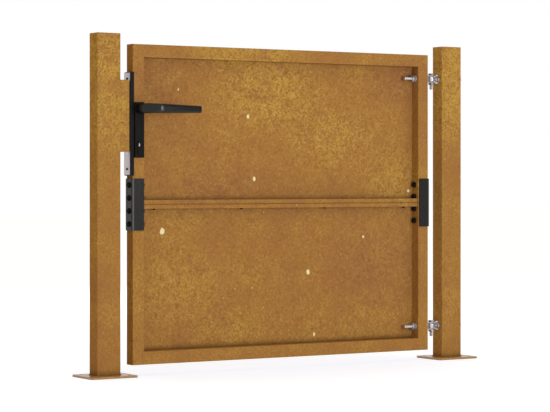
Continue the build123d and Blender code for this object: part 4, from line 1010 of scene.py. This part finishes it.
class GATE_OT_bracket_fasteners(Operator):
    """Build the socket bolts and nuts of both brackets"""
    bl_idname = "gate.bracket_fasteners"
    bl_label = "Bracket fasteners"

    def execute(self, context):
        sizes, colours = context.scene.gate_sizes, context.scene.gate_colours
        black = black_steel(colours)
        bolt = (sizes.bolt_radius, sizes.bolt_pitch, sizes.bolt_thread)
        head = (sizes.bolt_head, sizes.bolt_head_height, sizes.bolt_head_edge)
        socket = (sizes.socket, sizes.socket_depth)
        low, high = box_of("latch_side_bracket")
        bolt_low, bolt_high = box_of("bracket_bolts")
        height = low[0] - box_of("bracket_nuts")[0][0]
        steps = (np.arange(BRACKET_BOLTS) - (BRACKET_BOLTS - 1) / 2) * sizes.bolt_spacing
        latch_side = (box_of("lower_latch_stile")[1][0], low[0], bolt_low[0], X)
        hinge_side = (box_of("lower_hinge_stile")[0][0], box_of("hinge_side_bracket")[1][0], bolt_high[0], -X)
        bolts, nuts = [], []
        for inner, outer, tail, axis in (latch_side, hinge_side):
            stem = shank(-abs(inner - tail), -abs(inner - outer) + sizes.bolt_thread_reach, *bolt)
            for z in steps + (low[2] + high[2]) / 2:
                bolts.append(socket_bolt((inner, 0, z), axis, Y, *head, *socket, stem))
                nuts.append(nut((outer, 0, z), -axis, Y, sizes.bolt_nut, height, sizes.bolt_radius))
        make_piece("bracket_socket_bolts", bolts, black, "leaf", DARK, "bracket_bolts")
        make_piece("bracket_hex_nuts", nuts, black, "leaf", DARK, "bracket_nuts")
        return {"FINISHED"}


class GATE_OT_strip_fasteners(Operator):
    """Build the bolts and nuts that clamp the middle strips together"""
    bl_idname = "gate.strip_fasteners"
    bl_label = "Strip fasteners"

    def execute(self, context):
        sizes, colours = context.scene.gate_sizes, context.scene.gate_colours
        black = black_steel(colours)
        low, high = box_of("channel_bolts")
        nut_low, nut_high = box_of("channel_nuts")
        y, radius = (low[1] + high[1]) / 2, sizes.strip_bolt_radius
        seat, nut_height = high[2] - sizes.strip_head, nut_high[2] - nut_low[2]
        corner = sizes.strip_nut / sqrt(3)
        stem = shank(low[2] - seat, -sizes.strip_bolt_plain, radius, sizes.strip_bolt_pitch,
                     sizes.strip_bolt_thread)
        bolts, nuts = [], []
        for x in np.linspace(nut_low[0] + corner, nut_high[0] - corner, STRIP_BOLTS):
            bolts.append(hex_bolt((x, y, seat), Z, X, sizes.strip_nut, sizes.strip_head, stem))
            nuts.append(nut((x, y, nut_high[2]), -Z, X, sizes.strip_nut, nut_height, radius))
        make_piece("strip_hex_bolts", bolts, black, "leaf", DARK, "channel_bolts")
        make_piece("strip_hex_nuts", nuts, black, "leaf", DARK, "channel_nuts")
        return {"FINISHED"}


class GATE_OT_lock_screws(Operator):
    """Build the screws of the forend and of the escutcheons"""
    bl_idname = "gate.lock_screws"
    bl_label = "Lock screws"

    def execute(self, context):
        black = black_steel(context.scene.gate_colours)
        shank_radius = context.scene.gate_sizes.lock_screw
        low, high = box_of("forend_screws")
        face, radius = box_of("lock_forend")[0][0], (high[1] - low[1]) / 2
        stem = [rows([face - high[0], 0], shank_radius)]
        screws = [pan_screw((face, 0, z), -X, Y, radius, face - low[0], stem)
                  for z in (low[2] + radius, high[2] - radius)]
        make_piece("forend_pan_screws", screws, black, "leaf", DARK, "forend_screws")
        low, high = box_of("escutcheon_screws")
        face, radius = box_of("rear_escutcheon")[1][1], (high[0] - low[0]) / 2
        stem = [rows([low[1] - face, 0], shank_radius)]
        screws = [pan_screw((low[0] + radius, face, z), Y, X, radius, high[1] - face, stem)
                  for z in (low[2] + radius, high[2] - radius)]
        make_piece("escutcheon_pan_screws", screws, black, "leaf", DARK, "escutcheon_screws")
        return {"FINISHED"}


# Rows of points in one ripple of a weld, and the share of its radius by which a bead swells
RIPPLE_ROWS = 6
WELD_SWELL = 0.12

# Distances of the beads' middles from the posts' sides, from the base plates and from the latch post
WELD_OUT = 0.3 * MM
WELD_UP = 0.4 * MM
STRIKE_WELD_OUT = 0.4 * MM


def weld_bead(corners, radius, ripple, up, closed=False):
    """Weld bead: a circle carried along a path, its radius swelling by a rounded wave once per ripple."""
    path = np.concatenate([corners, corners[:1]]) if closed else np.asarray(corners)
    steps = np.concatenate([[0], np.cumsum(np.linalg.norm(np.diff(path, axis=0), axis=1))])
    along = np.linspace(0, steps[-1], int(steps[-1] / ripple * RIPPLE_ROWS), endpoint=not closed)
    line = np.stack([np.interp(along, steps, path[:, i]) for i in range(3)], axis=-1)
    swell = 1 - WELD_SWELL + WELD_SWELL * np.abs(np.sin(pi * along / ripple))
    return tube(line, radius * swell, up, closed)


def foot_path(low, high, arc):
    """Path of the weld round a post's foot, a little outside the post: the centre of each rounded corner
    plus the arc's radius times the direction at each angle."""
    middle, half = (low + high) / 2, (high - low) / 2 + WELD_OUT
    corner = np.radians(np.linspace(0, 90, ROUNDING_ROWS))
    turns = np.concatenate([corner + quarter * pi / 2 for quarter in range(4)])
    signs = np.repeat([[1, 1], [-1, 1], [-1, -1], [1, -1]], len(corner), axis=0)
    ring = middle[:2] + signs * (half[:2] - arc) + arc * np.stack([np.cos(turns), np.sin(turns)], axis=-1)
    return np.concatenate([ring, np.full((len(ring), 1), low[2] + WELD_UP)], axis=1)


class GATE_OT_welds(Operator):
    """Lay the weld beads round the posts' feet and along the strike box"""
    bl_idname = "gate.welds"
    bl_label = "Weld beads"

    def execute(self, context):
        sizes = context.scene.gate_sizes
        radius, ripple = sizes.weld, sizes.weld_ripple
        beads = [weld_bead(foot_path(*box_of(f"{name}_post_tube"), sizes.weld_corner), radius, ripple, Z,
                           closed=True) for name in ("latch", "hinge")]
        low, high = box_of("strike_box")
        for y in (low[1] + radius, high[1] - radius):
            path = [(low[0] - STRIKE_WELD_OUT, y, z) for z in (low[2] + radius, high[2] - radius)]
            beads.append(weld_bead(path, radius, ripple, Y))
        make_piece("weld_beads", beads, bpy.data.materials["weathering steel, latch post"], "posts", STEEL)
        return {"FINISHED"}


# Stage. The lens, place and turn of the camera are those of the view to match.
CAMERA_PLACE = (-2.721, -4.294, 0.4535)
CAMERA_TURN = radians(-32.1)
CAMERA_LENS = 137.85
CAMERA_SENSOR = 36.0
CAMERA_RISE = -0.0488
FLOOR_REACH = 20.0

# Softboxes: the side that each stands on, -1 before the gate and 1 behind it, and its power in watts
SOFTBOXES = {"front softbox": (-1, 52.0), "rear softbox": (1, 38.0)}
SOFTBOX_PLACE = (0.05, 3.8, 0.6)
SOFTBOX_SIZE = (1.2, 1.2)
SOFTBOX_COLOUR = (0.95, 1.0, 1.15)
CATCH_PLACE = (0.9, -3.8, 0.75)
CATCH_SIZE = (1.1, 0.25)
CATCH_POWER = 13.0

# Colour of the surroundings as light, and what the floor shines with where it is seen
AMBIENT = (0.72, 0.62, 0.37, 1)
FLOOR_LIFT = (0.40, 0.49, 0.665, 1)

# What mirrors see: the level of the dim part, the directions in X between which white goes down to it, and
# those in Y between which it comes up to white again
MIRROR_DIM = 0.12
DIM_X = (0.36, 0.5)
DIM_Y = (-1.0, -0.2)


class GATE_OT_stage(Operator):
    """Set up the floor, the studio light and the camera"""
    bl_idname = "gate.stage"
    bl_label = "Studio"

    def execute(self, context):
        scene = context.scene
        scene.view_settings.view_transform = "Standard"
        self.lay_floor(scene)
        self.light_world(scene)
        # The softboxes give the light, and the small catch light only the highlights that gloss shows
        for name, (side, power) in SOFTBOXES.items():
            x, y, z = SOFTBOX_PLACE
            softbox = self.hang_lamp(scene, name, (x, side * y, z), SOFTBOX_SIZE, power)
            softbox.data.color = SOFTBOX_COLOUR
            softbox.visible_glossy = False
        catch = self.hang_lamp(scene, "catch light", CATCH_PLACE, CATCH_SIZE, CATCH_POWER)
        catch.visible_diffuse = False
        self.place_camera(scene)
        return {"FINISHED"}

    def lay_floor(self, scene):
        """Square floor at the foot of the posts."""
        mesh = bpy.data.meshes.new("studio_floor")
        corners = [(x * FLOOR_REACH, y * FLOOR_REACH, 0) for x, y in ((-1, -1), (1, -1), (1, 1), (-1, 1))]
        mesh.from_pydata(corners, [], [(0, 1, 2, 3)])
        floor = bpy.data.objects.new("studio_floor", mesh)
        scene.collection.objects.link(floor)
        mesh.materials.append(self.floor_paint(scene.gate_colours))

    def hang_lamp(self, scene, name, place, size, power):
        """Upright lamp that shines towards the gate, from before it or from behind it."""
        lamp = bpy.data.lights.new(name, "AREA")
        lamp.shape, lamp.energy = "RECTANGLE", power
        lamp.size, lamp.size_y = size
        hung = bpy.data.objects.new(name, lamp)
        hung.location = place
        hung.rotation_euler = (radians(90 if place[1] < 0 else -90), 0, 0)
        scene.collection.objects.link(hung)
        return hung

    def place_camera(self, scene):
        """Level camera, with its picture shifted rather than tilted."""
        lens = bpy.data.cameras.new("view")
        lens.lens, lens.sensor_width, lens.shift_y = CAMERA_LENS, CAMERA_SENSOR, CAMERA_RISE
        camera = bpy.data.objects.new("view", lens)
        camera.location = CAMERA_PLACE
        camera.rotation_euler = (radians(90), 0, CAMERA_TURN)
        scene.collection.objects.link(camera)
        scene.camera = camera

    def floor_paint(self, colours):
        """Matt white studio paint: evenly pale, and lifted to white where it is seen or mirrored. The lift
        makes up for the warm surroundings, so that the floor stays neutral, and a shadow still shows."""
        material, tree = new_material("matt studio paint")
        path = add(tree, "LightPath").outputs
        seen = add(tree, "Math", {0: path["Is Camera Ray"], 1: path["Is Glossy Ray"]}, operation="MAXIMUM")
        seen = add(tree, "Math", {0: seen, 1: path["Is Transmission Ray"]}, operation="MAXIMUM")
        shader = add(tree, "BsdfPrincipled", {"Base Color": tuple(colours.floor), "Roughness": 1.0,
                                              "Specular IOR Level": 0.0, "Emission Color": FLOOR_LIFT,
                                              "Emission Strength": seen})
        add(tree, "OutputMaterial", {"Surface": shader})
        return material

    def light_world(self, scene):
        """Even surroundings: full white where they are seen, a soft warm part of the light elsewhere.
        Mirrors see white all round, but for a dim part to the right on the side of the camera."""
        world = bpy.data.worlds.new("white studio")
        scene.world = world
        world.use_nodes = True
        tree = world.node_tree
        tree.nodes.clear()
        path = add(tree, "LightPath").outputs
        way = add(tree, "SeparateXYZ", {0: add(tree, "TexCoord").outputs["Generated"]}).outputs
        dim = add(tree, "MapRange", {"Value": way["X"], "From Min": DIM_X[0], "From Max": DIM_X[1],
                                     "To Min": 1.0, "To Max": MIRROR_DIM})
        mirrored = add(tree, "MapRange", {"Value": way["Y"], "From Min": DIM_Y[0], "From Max": DIM_Y[1],
                                          "To Min": dim, "To Max": 1.0})
        light = add(tree, "Mix", {0: path["Is Glossy Ray"], 6: AMBIENT, 7: mirrored}, data_type="RGBA")
        seen = add(tree, "Math", {0: path["Is Camera Ray"], 1: path["Is Transmission Ray"]},
                   operation="MAXIMUM")
        light = add(tree, "Mix", {0: seen, 6: light, 7: (1, 1, 1, 1)}, data_type="RGBA")
        shine = add(tree, "Background", {"Color": light})
        add(tree, "OutputWorld", {"Surface": shine})


# Operators in the order in which they run
PIECES = (GATE_OT_rusted_posts, GATE_OT_rusted_leaf, GATE_OT_lock_finishes, GATE_OT_key_plugs,
          GATE_OT_latch_spring, GATE_OT_levers, GATE_OT_hinges, GATE_OT_bracket_fasteners,
          GATE_OT_strip_fasteners, GATE_OT_lock_screws, GATE_OT_welds, GATE_OT_stage)


class GATE_PT_pieces(Panel):
    """Buttons for the gate's pieces, with their sizes and colours"""
    bl_idname = "GATE_PT_pieces"
    bl_label = "Garden gate"
    bl_space_type = "VIEW_3D"
    bl_region_type = "UI"
    bl_category = "Gate"

    def draw(self, context):
        for piece in PIECES:
            self.layout.operator(piece.bl_idname)
        for group in (context.scene.gate_sizes, context.scene.gate_colours):
            column = self.layout.column(align=True)
            for key in group.bl_rna.properties.keys():
                if key not in ("rna_type", "name"):
                    column.prop(group, key)


CLASSES = (GateSizes, GateColours) + PIECES + (GATE_PT_pieces,)


def register():
    """Registers the classes and hangs the property groups on the scene."""
    for kind in CLASSES:
        bpy.utils.register_class(kind)
    bpy.types.Scene.gate_sizes = PointerProperty(type=GateSizes)
    bpy.types.Scene.gate_colours = PointerProperty(type=GateColours)


def unregister():
    """Takes back what register did."""
    del bpy.types.Scene.gate_colours
    del bpy.types.Scene.gate_sizes
    for kind in reversed(CLASSES):
        bpy.utils.unregister_class(kind)


def main():
    register()
    for piece in PIECES:
        area, name = piece.bl_idname.split(".")
        getattr(getattr(bpy.ops, area), name)()


if __name__ == "__main__":
    main()
